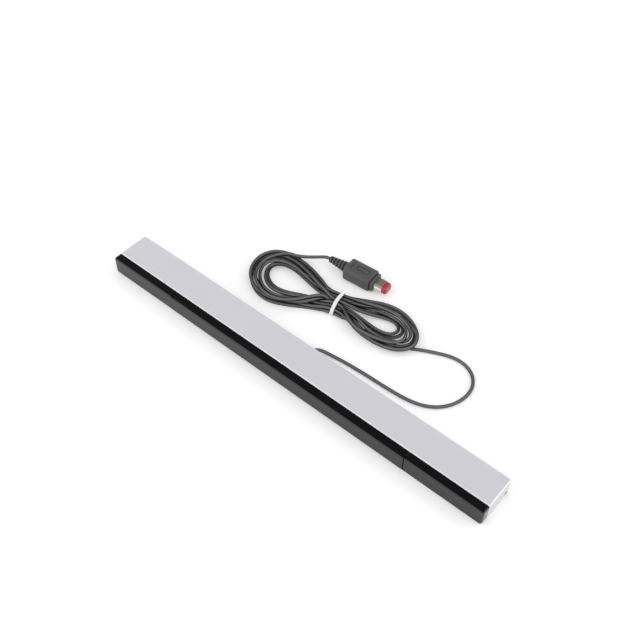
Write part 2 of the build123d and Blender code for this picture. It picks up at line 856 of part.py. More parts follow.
# Tie: a flat white band round the waist, drawn tight on the outer strands
strand_span = (turns_per_layer - 1) * strand_pitch + cord_diameter
bundle_height = layer_pitch + cord_diameter
tie_seat = tie_middle - waist_across * strand_pitch / 4 - waist_along * tie_width / 2
tie_plane = Plane(
    at_height(tie_seat, hank_lift + bundle_height / 2),
    x_dir=waist_across,
    z_dir=waist_along,
)
with BuildPart() as cord_tie:
    with BuildSketch(tie_plane):
        Rectangle(
            strand_span + 2 * (tie_wall + tie_gap),
            bundle_height + 2 * (tie_wall + tie_gap),
        )
        chamfer(vertices(), length=tie_corner + tie_wall / 2)
        with BuildSketch(mode=Mode.SUBTRACT):
            Rectangle(strand_span + 2 * tie_gap, bundle_height + 2 * tie_gap)
            chamfer(vertices(), length=tie_corner)
    extrude(amount=tie_width)
cord_tie.part.label = "cord_tie"
export_step(cord_tie.part, "parts/cord_tie.step")


def route_radii(points):
    """Bend radii for a cord's route: a share of the shorter run over the half turn's tangent."""
    radii = []
    for before, corner, after in zip(points, points[1:], points[2:]):
        run_in = corner - before
        run_out = after - corner
        half = radians(run_in.get_angle(run_out)) / 2
        radii.append(cord_bend_share * min(run_in.length, run_out.length) / tan(half))
    return radii


def free_cord(name, points):
    """A free stretch of cord along straight runs joined by tangent arcs."""
    radii = route_radii(points)
    with BuildPart() as cord:
        with BuildLine() as path:
            FilletPolyline(*points, radius=radii)
        route = path.wires()[0]
        with BuildSketch(Plane(route @ 0, x_dir=(0, 0, 1), z_dir=route % 0)):
            RegularPolygon(cord_radius, cord_sides, rotation=180 - 180 / cord_sides)
        sweep(path=route)
    print(
        f"{name}: {route.length:.1f} mm,",
        f"volume over section times length {cord.part.volume / section_area / route.length:.4f},",
        "radii",
        " ".join(f"{radius:.1f}" for radius in radii),
    )
    return cord.part


# Free run of the cord: out of the bar, down to the table and round to the hank
table_z = cord_radius
hank_start = hank_wire @ 0
hank_start_way = hank_wire % 0
free_points = [
    Vector(gland_x, rear_y + gland_nose, gland_z),
    Vector(gland_x, 14.2, gland_z),
    Vector(0.8, 16.1, 2.6),
    Vector(2.7, 17.5, 2.0),
    Vector(5.8, 18.6, 1.4),
    Vector(10.5, 19.7, 1.0),
    Vector(16.0, 20.4, table_z),
    Vector(24.5, 20.8, table_z),
    Vector(36.0, 20.2, table_z),
    Vector(50.0, 20.3, table_z),
    Vector(62.5, 23.0, table_z),
    Vector(72.0, 29.5, table_z),
    Vector(77.2, 38.5, table_z),
    Vector(76.6, 48.8, table_z),
    Vector(70.6, 56.6, table_z),
    Vector(61.5, 58.9, table_z),
    Vector(52.0, 56.6, 1.0),
    Vector(44.0, 52.6, 1.2),
    hank_start - hank_start_way * hank_run_in,
    hank_start,
]
cord_free_run = free_cord("cord_free_run", free_points)
cord_free_run.label = "cord_free_run"
export_step(cord_free_run, "parts/cord_free_run.step")

# Lead from the hank to the plug's boot
plug_turn = radians(plug_turn_deg)
plug_along = Vector(cos(plug_turn), sin(plug_turn), 0)
plug_across = Vector(-sin(plug_turn), cos(plug_turn), 0)
boot_tip = Vector(plug_x, plug_y, plug_height / 2)
hank_end = hank_wire @ 1
hank_end_way = hank_wire % 1
lead_points = [
    hank_end,
    hank_end + hank_end_way * hank_run_out,
    Vector(-43.6, 62.2, 3.8),
    Vector(-40.4, 65.4, 4.0),
    Vector(-37.9, 68.2, 4.2),
    boot_tip - plug_along * boot_run_in,
    boot_tip,
]
cord_plug_lead = free_cord("cord_plug_lead", lead_points)
cord_plug_lead.label = "cord_plug_lead"
export_step(cord_plug_lead, "parts/cord_plug_lead.step")


def plug_section(distance):
    """A plane across the plug, with X to its side and Y up."""
    return Plane(boot_tip + plug_along * distance, x_dir=plug_across, z_dir=plug_along)


# Boot: a ribbed strain relief that widens towards the plug
with BuildPart() as plug_boot:
    rib_pitch = (boot_length - boot_base) / boot_ribs
    widening = (boot_root_radius - boot_tip_radius) / boot_ribs
    for number in range(boot_ribs):
        crest = boot_tip_radius + number * widening
        with BuildSketch(plug_section(number * rib_pitch)):
            RegularPolygon(crest, round_sides)
        extrude(amount=rib_pitch * boot_crest_share)
        with BuildSketch(plug_section((number + boot_crest_share) * rib_pitch)):
            RegularPolygon(crest - boot_groove, round_sides)
        extrude(amount=rib_pitch * (1 - boot_crest_share))
    with BuildSketch(plug_section(boot_length - boot_base)):
        RegularPolygon(boot_root_radius, round_sides)
    extrude(amount=boot_base)
plug_boot.part.label = "plug_boot"
export_step(plug_boot.part, "parts/plug_boot.step")

# Plug body: an eight-sided block with a collar, a panel outline and a grip line
body_end = boot_length + plug_length
with BuildPart() as plug_body:
    with BuildSketch(plug_section(boot_length)) as body_outline:
        Rectangle(plug_width, plug_height)
        chamfer(body_outline.vertices(), length=plug_chamfer)
    extrude(amount=plug_length)
    ends = plug_body.faces().filter_by(Axis(boot_tip, plug_along))
    chamfer(ends.edges(), length=plug_rim)
    with BuildSketch(plug_section(body_end)) as collar_outline:
        Rectangle(plug_width - 2 * collar_inset, plug_height - 2 * collar_inset)
        chamfer(collar_outline.vertices(), length=plug_chamfer - collar_inset / 2)
    extrude(amount=collar_length)
    top_plane = Plane(
        boot_tip + plug_along * (boot_length + plug_length / 2) + Vector(0, 0, plug_height / 2),
        x_dir=plug_along,
        z_dir=(0, 0, 1),
    )
    with BuildSketch(top_plane):
        with Locations((panel_forward, 0)):
            Rectangle(panel_length, panel_width)
            chamfer(vertices(), length=panel_corner)
            with BuildSketch(mode=Mode.SUBTRACT):
                Rectangle(panel_length - 2 * panel_line, panel_width - 2 * panel_line)
                chamfer(vertices(), length=panel_corner - panel_line / 2)
        with Locations((-grip_back, 0)):
            Rectangle(grip_width, grip_length)
    extrude(amount=-panel_depth, mode=Mode.SUBTRACT)
plug_body.part.label = "plug_body"
export_step(plug_body.part, "parts/plug_body.step")

# Tongue, contact plates and tip
tongue_start = body_end + collar_length
with BuildPart() as plug_tongue:
    with BuildSketch(plug_section(tongue_start)) as tongue_outline:
        Rectangle(tongue_width, tongue_height)
        chamfer(tongue_outline.vertices(), length=tongue_edge)
    extrude(amount=tongue_length)
plug_tongue.part.label = "plug_tongue"
export_step(plug_tongue.part, "parts/plug_tongue.step")

with BuildPart() as plug_contacts:
    for side in (-1, 1):
        side_plane = Plane(
            boot_tip
            + plug_along * (tongue_start + tongue_length / 2)
            + plug_across * side * tongue_width / 2,
            x_dir=plug_along,
            z_dir=plug_across * side,
        )
        with BuildSketch(side_plane):
            Rectangle(tongue_length, contact_height)
            slit_side = 1 if side < 0 else -1
            with Locations((0, -slit_side * contact_slit_share * contact_height)):
                Rectangle(
                    tongue_length - 2 * contact_wall,
                    contact_slit,
                    mode=Mode.SUBTRACT,
                )
        extrude(amount=contact_wall)
plug_contacts.part.label = "plug_contacts"
export_step(plug_contacts.part, "parts/plug_contacts.step")

with BuildPart() as plug_tip:
    with BuildSketch(plug_section(tongue_start + tongue_length)) as tip_outline:
        Rectangle(tip_width, tip_height)
        chamfer(tip_outline.vertices(), length=tip_chamfer)
    extrude(amount=tip_length)
    nose = plug_tip.faces().sort_by(Axis(boot_tip, plug_along))[-1]
    chamfer(nose.edges(), length=tip_nose)
plug_tip.part.label = "plug_tip"
export_step(plug_tip.part, "parts/plug_tip.step")
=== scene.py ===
# %% [markdown]
# # A wired infrared sensor bar
#
# The real object is a slim bar that lies on a shelf. It has a satin silver shell, a
# glossy dark strip in front that hides infrared LEDs, and a thin grey cord that leaves
# the rear wall, lies in a tied hank and ends in a small keyed plug.
#
# The bar's shells come from the CAD frame, because their shapes are already right, and
# here they get their finishes. The cord, its tie, the plug's moulded parts, the screws
# and the LEDs are made here, because they are soft, rounded or repeated.

# %% Load the frame
import math

import bmesh
import bpy
from mathutils import Matrix, Vector


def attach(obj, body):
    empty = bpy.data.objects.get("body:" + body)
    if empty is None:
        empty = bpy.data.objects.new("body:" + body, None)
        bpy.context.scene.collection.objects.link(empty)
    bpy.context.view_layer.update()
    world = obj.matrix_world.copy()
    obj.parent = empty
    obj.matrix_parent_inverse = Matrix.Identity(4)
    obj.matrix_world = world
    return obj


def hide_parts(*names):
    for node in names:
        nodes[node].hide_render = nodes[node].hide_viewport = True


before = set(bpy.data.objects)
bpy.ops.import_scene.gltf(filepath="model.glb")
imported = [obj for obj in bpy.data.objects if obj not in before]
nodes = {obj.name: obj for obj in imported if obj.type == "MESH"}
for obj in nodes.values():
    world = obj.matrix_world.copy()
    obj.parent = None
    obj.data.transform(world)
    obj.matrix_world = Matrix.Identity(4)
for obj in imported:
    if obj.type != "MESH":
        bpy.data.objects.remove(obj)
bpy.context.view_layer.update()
MM = 0.001
print("CAD nodes:", len(nodes))

# %% [markdown]
# ## Camera
#
# The camera was fitted to corners of the bar in the photograph. It stands about half a
# metre away and looks down at the bar at fifty degrees. A frame of three unit vectors,
# turned by a small roll, gives its attitude directly, which is exact and needs no
# constraint.

# %% Camera
CAMERA_PLACE = Vector((188.944, -214.709, 375.723)) * MM
CAMERA_AZIMUTH = math.radians(38.8988)
CAMERA_ELEVATION = math.radians(49.5719)
CAMERA_ROLL = math.radians(1.3318)
CAMERA_LENS_MM = 52.364
CAMERA_SENSOR_MM = 36.0
CAMERA_NEAREST = 0.01

ahead = Vector(
    (
        -math.sin(CAMERA_AZIMUTH) * math.cos(CAMERA_ELEVATION),
        math.cos(CAMERA_AZIMUTH) * math.cos(CAMERA_ELEVATION),
        -math.sin(CAMERA_ELEVATION),
    )
)
level_right = ahead.cross(Vector((0, 0, 1))).normalized()
level_up = level_right.cross(ahead)
camera_right = level_right * math.cos(CAMERA_ROLL) + level_up * math.sin(CAMERA_ROLL)
camera_up = level_up * math.cos(CAMERA_ROLL) - level_right * math.sin(CAMERA_ROLL)

camera_data = bpy.data.cameras.new("photo_camera")
camera_data.sensor_width = CAMERA_SENSOR_MM
camera_data.lens = CAMERA_LENS_MM
camera_data.clip_start = CAMERA_NEAREST
camera = bpy.data.objects.new("photo_camera", camera_data)
bpy.context.scene.collection.objects.link(camera)
attitude = Matrix((camera_right, camera_up, -ahead)).transposed().to_4x4()
camera.matrix_world = Matrix.Translation(CAMERA_PLACE) @ attitude
bpy.context.scene.camera = camera
print("camera at", [round(value, 3) for value in CAMERA_PLACE])

# %% [markdown]
# ## Colours and nodes
#
# Colours are written as sRGB hex values, as a designer would note them, and one function
# turns them to the linear values that shaders work in. One more function adds a node
# with its settings and links, which keeps each material short enough to read.
# Moulded plastics share one recipe, because they differ only in colour, gloss and grain.

# %% Helpers for materials
MOTTLE_MM = 14.0
GRAIN_DEPTH_SHARE = 0.3


def colour(code):
    """An sRGB hex value as linear red, green, blue and full alpha."""
    channels = [int(code[place:place + 2], 16) / 255 for place in (1, 3, 5)]
    linear = [
        value / 12.92 if value <= 0.04045 else ((value + 0.055) / 1.055) ** 2.4
        for value in channels
    ]
    return (*linear, 1.0)


def add_node(tree, kind, settings=None, inputs=None):
    """Adds a node to a tree. An input is a value, or an output socket to link from."""
    node = tree.nodes.new(kind)
    for name, value in (settings or {}).items():
        setattr(node, name, value)
    for name, value in (inputs or {}).items():
        if isinstance(value, bpy.types.NodeSocket):
            tree.links.new(value, node.inputs[name])
        else:
            node.inputs[name].default_value = value
    return node


def worked_out(tree, operation, *values):
    """The result of a math node on numbers or output sockets."""
    node = add_node(tree, "ShaderNodeMath", {"operation": operation}, dict(enumerate(values)))
    return node.outputs[0]


def new_material(name):
    """An empty node material with its output, ready for a shader."""
    material = bpy.data.materials.new(name)
    material.use_nodes = True
    material.node_tree.nodes.clear()
    output = add_node(material.node_tree, "ShaderNodeOutputMaterial")
    return material, material.node_tree, output


def moulded(name, base, roughness, grain_mm, bump, tint=0.06, sheen_spread=0.06, **shader):
    """A moulded plastic or rubber: a faint mottle in colour and gloss, and a fine grain."""
    material, tree, output = new_material(name)
    place = add_node(tree, "ShaderNodeTexCoord")
    mottle = add_node(
        tree,
        "ShaderNodeTexNoise",
        inputs={"Vector": place.outputs["Object"], "Scale": 1 / (MOTTLE_MM * MM), "Detail": 3.0},
    )
    grain = add_node(
        tree,
        "ShaderNodeTexNoise",
        inputs={"Vector": place.outputs["Object"], "Scale": 1 / (grain_mm * MM), "Detail": 2.0},
    )
    dark = [channel * (1 - tint) for channel in colour(base)[:3]] + [1.0]
    light = [min(1.0, channel * (1 + tint)) for channel in colour(base)[:3]] + [1.0]
    paint = add_node(
        tree,
        "ShaderNodeMix",
        {"data_type": "RGBA"},
        {0: mottle.outputs["Fac"], 6: dark, 7: light},
    )
    gloss = add_node(
        tree,
        "ShaderNodeMapRange",
        inputs={
            "Value": mottle.outputs["Fac"],
            "To Min": roughness - sheen_spread,
            "To Max": roughness + sheen_spread,
        },
    )
    relief = add_node(
        tree,
        "ShaderNodeBump",
        inputs={
            "Height": grain.outputs["Fac"],
            "Strength": bump,
            "Distance": grain_mm * MM * GRAIN_DEPTH_SHARE,
        },
    )
    surface = add_node(
        tree,
        "ShaderNodeBsdfPrincipled",
        inputs={
            "Base Color": paint.outputs[2],
            "Roughness": gloss.outputs["Result"],
            "Normal": relief.outputs["Normal"],
            **shader,
        },
    )
    tree.links.new(surface.outputs["BSDF"], output.inputs["Surface"])
    return material


def dress(node_name, material):
    """Gives a CAD node a finish in all its material slots."""
    for slot in nodes[node_name].material_slots:
        slot.material = material
    if not nodes[node_name].material_slots:
        nodes[node_name].data.materials.append(material)


print("helpers ready")

# %% [markdown]
# ## Painted shade and highlight
#
# The real cord looks darker along its sides, its crevices and the plug's grooves look
# nearly black, and the bevels of the silver shell show a bright line, all from the way
# light falls on them. Here each of these is painted: a second tone of shade or highlight,
# laid over a material's base colour through a mask: how far the surface turns from the
# eye, how much of the room it sees, or which way it slopes.

# %% Helpers for tones by place
RIM_BLEND = 0.5
RIM_LIMITS = (0.07, 0.5)
CREVICE_LIMITS = (0.35, 0.95)
CREVICE_SAMPLES = 8
BEVEL_FROM_WALL = (0.35, 0.55)
BEVEL_TO_TOP = (0.85, 0.97)
BEVEL_TO_RIGHT = (0.1, 0.4)


def ranged(tree, value, limits, start=0.0, end=1.0):
    """A smooth step of a value between two limits."""
    low, high = limits
    step = add_node(
        tree,
        "ShaderNodeMapRange",
        {"interpolation_type": "SMOOTHSTEP"},
        {"Value": value, "From Min": low, "From Max": high, "To Min": start, "To Max": end},
    )
    return step.outputs["Result"]


def blend_over(material, mask, tone):
    """Lays a second tone, a painted shade or highlight, over a material's base colour where a
    mask calls for it.
    """
    tree = material.node_tree
    base = tree.nodes["Principled BSDF"].inputs["Base Color"]
    mixed = add_node(
        tree,
        "ShaderNodeMix",
        {"data_type": "RGBA"},
        {0: mask, 6: base.links[0].from_socket, 7: colour(tone)},
    )
    tree.links.new(mixed.outputs[2], base)


def painted_rim_shade(material, tone):
    """Paints shade on a round sheath toward its edges, where it turns away from the eye."""
    tree = material.node_tree
    facing = add_node(tree, "ShaderNodeLayerWeight", inputs={"Blend": RIM_BLEND})
    blend_over(material, ranged(tree, facing.outputs["Facing"], RIM_LIMITS), tone)


def painted_crevice_shade(material, tone, reach_mm):
    """Paints shade into crevices whose walls stand closer than a reach in millimetres."""
    tree = material.node_tree
    sight = add_node(
        tree,
        "ShaderNodeAmbientOcclusion",
        {"samples": CREVICE_SAMPLES},
        {"Distance": reach_mm * MM},
    )
    blend_over(material, ranged(tree, sight.outputs["AO"], CREVICE_LIMITS, 1.0, 0.0), tone)


def painted_bevel_highlight(material, tone):
    """Paints a highlight on the sloping top edges at the front and the right, where the bevels
    catch the light.
    """
    tree = material.node_tree
    place = add_node(tree, "ShaderNodeNewGeometry")
    facing = add_node(tree, "ShaderNodeSeparateXYZ", inputs={0: place.outputs["Normal"]})
    rising = ranged(tree, facing.outputs["Z"], BEVEL_FROM_WALL)
    falling = ranged(tree, facing.outputs["Z"], BEVEL_TO_TOP, 1.0, 0.0)
    sloping = worked_out(tree, "MULTIPLY", rising, falling)
    forward = worked_out(tree, "SUBTRACT", facing.outputs["X"], facing.outputs["Y"])
    highlight_mask = worked_out(tree, "MULTIPLY", sloping, ranged(tree, forward, BEVEL_TO_RIGHT))
    blend_over(material, highlight_mask, tone)


print("tones by place ready")

# %% [markdown]
# ## Cord
#
# The real cord is a thin round PVC lead. It leaves the middle of the rear wall, runs
# along the table in one loose loop, and is wound into a hank of eight loops that a white
# tie draws together. Away from the tie the loops differ in size, cross and fan out, and
# the last one leaves the hank for the plug. It is one curve: a NURBS spline, which bends
# as smoothly as the real lead. Its control points were placed over the photograph,
# loop by loop, and then a small program eased them apart until each turn rests on the
# ones below it.

# %% Cord route
CORD_DIAMETER = 1.8
ROUTE = [
    (0, 12.5, 3), (0, 13.5, 3), (0.2, 15, 2.8), (0.9, 16.4, 2.4),
    (2.1, 17.6, 1.9), (3.9, 18.5, 1.4), (6.5, 19.1, 1), (10, 19.6, 0.9),
    (17, 20.4, 0.9), (30.3, 21.1, 0.9), (44.7, 21.3, 0.9), (56.1, 22.3, 0.9),
    (64.8, 25.3, 0.9), (71.5, 31.2, 0.9), (75.3, 39.7, 0.9), (75.3, 48.8, 0.9),
    (71, 55.7, 0.9), (64.2, 59.2, 0.9), (56.4, 59.1, 0.9), (48.2, 55.8, 0.9),
    (41.5, 52.4, 0.9), (37.6, 50.1, 0.9), (34.8, 48.4, 0.9), (31.3, 46.7, 0.9),
    (27.2, 44.9, 0.9), (23.1, 43.2, 0.9), (19.1, 42.3, 0.9), (15, 42.2, 0.9),
    (10.4, 43, 0.9), (5.1, 44.5, 0.9), (0, 44.7, 0.9), (-3.3, 42.8, 0.9),
    (-6.2, 42.3, 1.4), (-13.2, 40.7, 1.4), (-17.7, 38.9, 0.9), (-24.3, 35.3, 0.9),
    (-33, 29.7, 0.9), (-42.8, 25.5, 0.9), (-53.7, 27.5, 0.9), (-63.3, 35.5, 0.9),
    (-67.3, 46.6, 0.9), (-63.4, 56.3, 0.9), (-53.7, 60.3, 0.9), (-41.7, 58.9, 0.9),
    (-29.9, 55.6, 0.9), (-21.4, 53.9, 0.9), (-16.4, 54.1, 1.4), (-9.3, 55.7, 1.4),
    (-4.3, 56.5, 3.2), (2.1, 59.1, 4.1), (9.9, 63.2, 4), (18.7, 64.9, 3.6),
    (28.3, 62.6, 3.4), (36.1, 56.7, 3.2), (37.8, 49, 2.9), (32.7, 43.2, 2),
    (24.3, 40.6, 1.3), (15.1, 40.1, 0.9), (6, 41.1, 0.9), (-1.2, 43.5, 2.9),
    (-6.8, 44.5, 1.4), (-13.8, 42.9, 1.4), (-17.9, 40.9, 0.9), (-24.5, 37.3, 0.9),
    (-33.2, 31.8, 0.9), (-42, 27.4, 1.8), (-52.1, 26.7, 3.3), (-61.5, 32.7, 4.5),
    (-65.5, 43.7, 4.9), (-62.2, 54.4, 4.3), (-53, 59.6, 3), (-41, 58.9, 2.7),
    (-29.2, 55.5, 3), (-20.9, 52.4, 2.4), (-15.8, 51.9, 1.4), (-8.8, 53.5, 1.4),
    (-4.8, 55.4, 0.9), (0.2, 59.9, 0.9), (7.9, 64.3, 0.9), (16.9, 66, 0.9),
    (26.4, 63.5, 0.9), (34, 57.1, 1.7), (35.7, 49.2, 2.9), (30.1, 43.8, 2.8),
    (21.6, 42.6, 2.9), (13.3, 42.3, 2.8), (5.3, 41.1, 2.9), (-1.3, 41.8, 4.2),
    (-6.5, 43.4, 2.9), (-13.5, 41.8, 2.9), (-16.7, 39.1, 3.4), (-22.1, 36.2, 2.7),
    (-30.3, 33.3, 2.6), (-40.7, 30.5, 2), (-51.9, 30.3, 0.9), (-61.5, 36.2, 0.9),
    (-64.8, 46.2, 0.9), (-59.3, 54, 1.1), (-48.8, 55.6, 2.3), (-37.4, 53.9, 3.5),
    (-26.8, 51.9, 3.4), (-19.6, 50.2, 2.9), (-15.6, 50.7, 2.9), (-8.6, 52.4, 2.9),
    (-3.9, 53, 3.3), (1.2, 55.1, 3.6), (7.6, 58.6, 4), (16.1, 60.8, 3.8),
    (26.7, 60.5, 4.1), (36, 55.8, 5), (38.6, 48.2, 4.8), (32.9, 42.1, 3.7),
    (24, 39.2, 3.1), (14.8, 39.2, 4.1), (6, 42.1, 5), (-1.2, 45.7, 2),
    (-7.3, 46.8, 1.4), (-14.3, 45.1, 1.4), (-18.4, 43, 0.9), (-24.5, 39.1, 1.8),
    (-30.8, 33, 5), (-38.5, 28.2, 5.7), (-48.2, 29.1, 4.9), (-56.9, 35.6, 4.3),
    (-59.7, 44.1, 4.4), (-54.5, 50.3, 5), (-45.2, 52, 5.1), (-35.2, 50.7, 4.2),
    (-25.9, 49.3, 3.9), (-19.4, 50.6, 5.5), (-16.1, 53, 2.9), (-9.1, 54.6, 2.9),
    (-3.5, 54.5, 5.1), (2.9, 56, 5.7), (10.3, 58.7, 5.7), (17.9, 59.9, 5.6),
    (25.9, 58.8, 5.4), (32.4, 55.4, 4.2), (33.5, 50, 3.4), (28.8, 44.9, 4.3),
    (21.6, 41.8, 5.3), (14.1, 41.7, 5.7), (6.6, 43.9, 5.8), (-0.6, 45.7, 4.4),
    (-7, 45.6, 2.9), (-14, 44, 2.9), (-16.6, 41.4, 2.9), (-22.1, 39.7, 3.2),
    (-29.2, 36, 5.7), (-36.8, 31.5, 5.7), (-45.6, 31.4, 4.6), (-54, 37, 3.5),
    (-57.6, 45.2, 2.9), (-53.6, 50.9, 2.8), (-45.2, 52.2, 3), (-36.1, 51.9, 2.7),
    (-27.1, 51.5, 1.2), (-20.2, 50.2, 0.9), (-15.3, 49.6, 1.4), (-8.3, 51.2, 1.4),
    (-4.9, 53.2, 0.9), (0.2, 55.5, 1.2), (7.4, 57.4, 2.3), (15, 58.4, 3.4),
    (22.9, 57.9, 4.3), (29.9, 54.5, 5.2), (32.7, 48.4, 5.7), (29.4, 43.1, 5.7),
    (23, 40.5, 5.7), (15.7, 39, 5.8), (7.7, 38.5, 5.8), (-0.3, 41.8, 6),
    (-7.3, 46.8, 4.4), (-14.3, 45.1, 4.4), (-18.1, 43, 3), (-23.8, 43.2, 1.4),
    (-31.1, 40.9, 0.9), (-38.5, 37, 0.9), (-46.5, 35.7, 0.9), (-54.3, 39.3, 0.9),
    (-57.9, 46.3, 0.9), (-53.8, 51.9, 0.9), (-45.1, 52.9, 0.9), (-35.4, 51, 0.9),
    (-26.5, 49.3, 0.9), (-19.8, 48.5, 2.3), (-15.1, 48.5, 2.9), (-8, 50.1, 2.9),
    (-4.4, 51.3, 2.1), (0.1, 53.2, 1.2), (6.1, 55.3, 0.9), (12.5, 58.2, 0.9),
    (19.6, 59.9, 0.9), (25.9, 57.9, 0.9), (27.5, 52.7, 0.9), (24, 47.9, 0.9),
    (17.1, 46.5, 0.9), (9.9, 46.8, 0.9), (3, 47.1, 0.9), (-2.8, 48, 1),
    (-7.8, 49, 1.4), (-14.8, 47.4, 1.4), (-19.4, 45.1, 3.9), (-21.5, 38.3, 5.6),
    (-28.8, 31.9, 3.8), (-39.5, 29.2, 3), (-51.2, 30.2, 3.1), (-61.7, 35.5, 2.8),
    (-65.7, 45.2, 2.6), (-60.3, 53.8, 3), (-49.2, 56, 4.3), (-36.7, 53.1, 5.6),
    (-25.5, 49.3, 6.2), (-18.4, 48, 5.9), (-14.8, 47.4, 4.4), (-7.8, 49, 4.4),
    (-3.4, 49.4, 4.6), (1.2, 50.3, 3.7), (6.3, 52.6, 2.6), (11.9, 55.8, 1.8),
    (18.3, 58, 1.7), (23.7, 56.5, 2), (25.5, 52.2, 2.5), (22.9, 47.8, 3),
    (16.4, 46.4, 3.1), (9.6, 46.9, 3.1), (3.4, 47.3, 3.3), (-2.1, 47.6, 3.4),
    (-7.5, 47.9, 2.9), (-14.5, 46.3, 2.9), (-18.7, 45.4, 6.1), (-22.8, 40.2, 6.4),
    (-28.2, 32.9, 5.8), (-35.9, 26.9, 5.6), (-46.8, 26.1, 5.5), (-57.3, 32.3, 5.6),
    (-61.2, 43, 5.6), (-57.7, 52.4, 5.6), (-53.3, 56.8, 5.6), (-51.3, 57.5, 5.5),
    (-49.7, 58.1, 5.2), (-47.3, 59.9, 4.8), (-45.1, 62.3, 3.9), (-42, 65, 3.9),
    (-38.9, 67.5, 4.1), (-36.4, 69.4, 4.3), (-33.8, 69.6, 4.3),
]
PLUG_TIP = Vector((-33.8, 69.6, 4.3))
PLUG_TURN = math.radians(4.0)
PLUG_ALONG = Vector((math.cos(PLUG_TURN), math.sin(PLUG_TURN), 0.0))
PLUG_ACROSS = Vector((-math.sin(PLUG_TURN), math.cos(PLUG_TURN), 0.0))
print("cord route:", len(ROUTE), "points")

# %% Cord curve
CORD_STEPS = 6
CORD_ROUNDNESS = 4


def cord_curve(name, points, diameter):
    """A round cord on one NURBS spline, with the points of its route as control points."""
    curve = bpy.data.curves.new(name, "CURVE")
    curve.dimensions = "3D"
    spline = curve.splines.new("NURBS")
    spline.points.add(len(points) - 1)
    for control, place in zip(spline.points, points):
        control.co = (*(value * MM for value in place), 1.0)
    spline.order_u = 3
    spline.use_endpoint_u = True
    spline.resolution_u = CORD_STEPS
    curve.bevel_depth = diameter * MM / 2
    curve.bevel_resolution = CORD_ROUNDNESS
    curve.use_fill_caps = True
    piece = bpy.data.objects.new(name, curve)
    bpy.context.scene.collection.objects.link(piece)
    return piece


cord = cord_curve("sensor_cord", ROUTE, CORD_DIAMETER)


def cord_length(points, diameter):
    """The length of the spline, read from a copy without thickness."""
    probe = cord_curve("cord_probe", points, diameter)
    probe.data.bevel_depth = 0.0
    line = bpy.data.meshes.new_from_object(probe)
    places = [vertex.co.copy() for vertex in line.vertices]
    bpy.data.objects.remove(probe)
    bpy.data.meshes.remove(line)
    return sum((b - a).length for a, b in zip(places, places[1:]))


cord_real_length = cord_length(ROUTE, CORD_DIAMETER)
print("cord length", round(cord_real_length, 3), "m")

# %% [markdown]
# ## Cord finish
#
# The sheath is soft PVC, extruded, in a middle grey. Extrusion leaves it smooth with a
# broad soft highlight, and handling leaves it a little mottled. Painted shade darkens its
# rims and crevices, which keeps its strands apart where they lie side by side in the hank.

# %% Cord sheath material
pvc_sheath = moulded(
    "pvc_cord_sheath", "#6A6A6C", 0.42, 0.5, 0.08, tint=0.05, **{"Specular IOR Level": 0.35},
)
# Painted shade: the sheath is darkened toward its edges, where it turns from the eye.
painted_rim_shade(pvc_sheath, "#18181A")
# Painted shade: the crevices between the strands are darkened nearly to black.
painted_crevice_shade(pvc_sheath, "#0E0E10", reach_mm=1.4)
cord.data.materials.append(pvc_sheath)
print("made", pvc_sheath.name)

# %% [markdown]
# ## Bar finishes
#
# The upper shell is injection-moulded ABS with a satin silver paint: pale, with a broad
# soft sheen from the metal flake under the clear coat, and a painted highlight along its
# bevels. The strip in front is moulded from dark acrylic that lets infrared through and
# looks black, with a polished face. The lower housing is plain black ABS with the fine
# spark-eroded grain of its mould. Every grain is drawn from a real size in millimetres.

# %% Bar materials
silver_paint = moulded(
    "satin_silver_painted_abs", "#D9D8DF", 0.4, 0.18, 0.05, tint=0.015, sheen_spread=0.03,
    **{"Metallic": 0.12, "Coat Weight": 0.1, "Coat Roughness": 0.3},
)
# Painted highlight: the front and right bevels of the silver shell are turned white.
painted_bevel_highlight(silver_paint, "#FFFFFF")
smoked_acrylic = moulded(
    "smoked_infrared_acrylic", "#08080B", 0.16, 0.4, 0.01, tint=0.1, sheen_spread=0.03,
)
black_abs = moulded("spark_grained_black_abs", "#2C2C2E", 0.55, 0.25, 0.25)
foot_elastomer = moulded("soft_foot_elastomer", "#262626", 0.75, 0.35, 0.3)
gland_vinyl = moulded("moulded_vinyl_outlet", "#3A3A3C", 0.5, 0.3, 0.15)
board_laminate = moulded("phenolic_board_laminate", "#9A7142", 0.6, 0.6, 0.1)
resistor_ceramic = moulded("chip_resistor_ceramic", "#1E1E20", 0.35, 0.3, 0.05)
red_insulation = moulded("red_pvc_insulation", "#8E2320", 0.4, 0.4, 0.05)
clear_epoxy = moulded(
    "clear_led_epoxy", "#C4CAD6", 0.1, 0.5, 0.02, tint=0.03, sheen_spread=0.02,
    **{"Transmission Weight": 0.6},
)

for node_name, finish in (
    ("upper_shell", silver_paint),
    ("window_left", smoked_acrylic),
    ("window_right", smoked_acrylic),
    ("front_cover", smoked_acrylic),
    ("lower_housing", black_abs),
    ("cord_clamp", black_abs),
    ("cord_gland", gland_vinyl),
    ("led_board_left", board_laminate),
    ("led_board_right", board_laminate),
    ("resistors", resistor_ceramic),
    ("lead_wires", red_insulation),
    ("link_wire", red_insulation),
    ("cord_tail", pvc_sheath),
):
    dress(node_name, finish)
print("bar dressed")

# %% [markdown]
# ## Metal finishes
#
# The screws are zinc-plated steel, the LED legs are tinned wire, and the plug's contact
# shell is nickel-plated. Plating is never quite even, so a soft noise varies the
# roughness, and the metals keep their default index of refraction.

# %% Metal materials
PLATING_SPREAD = 0.3


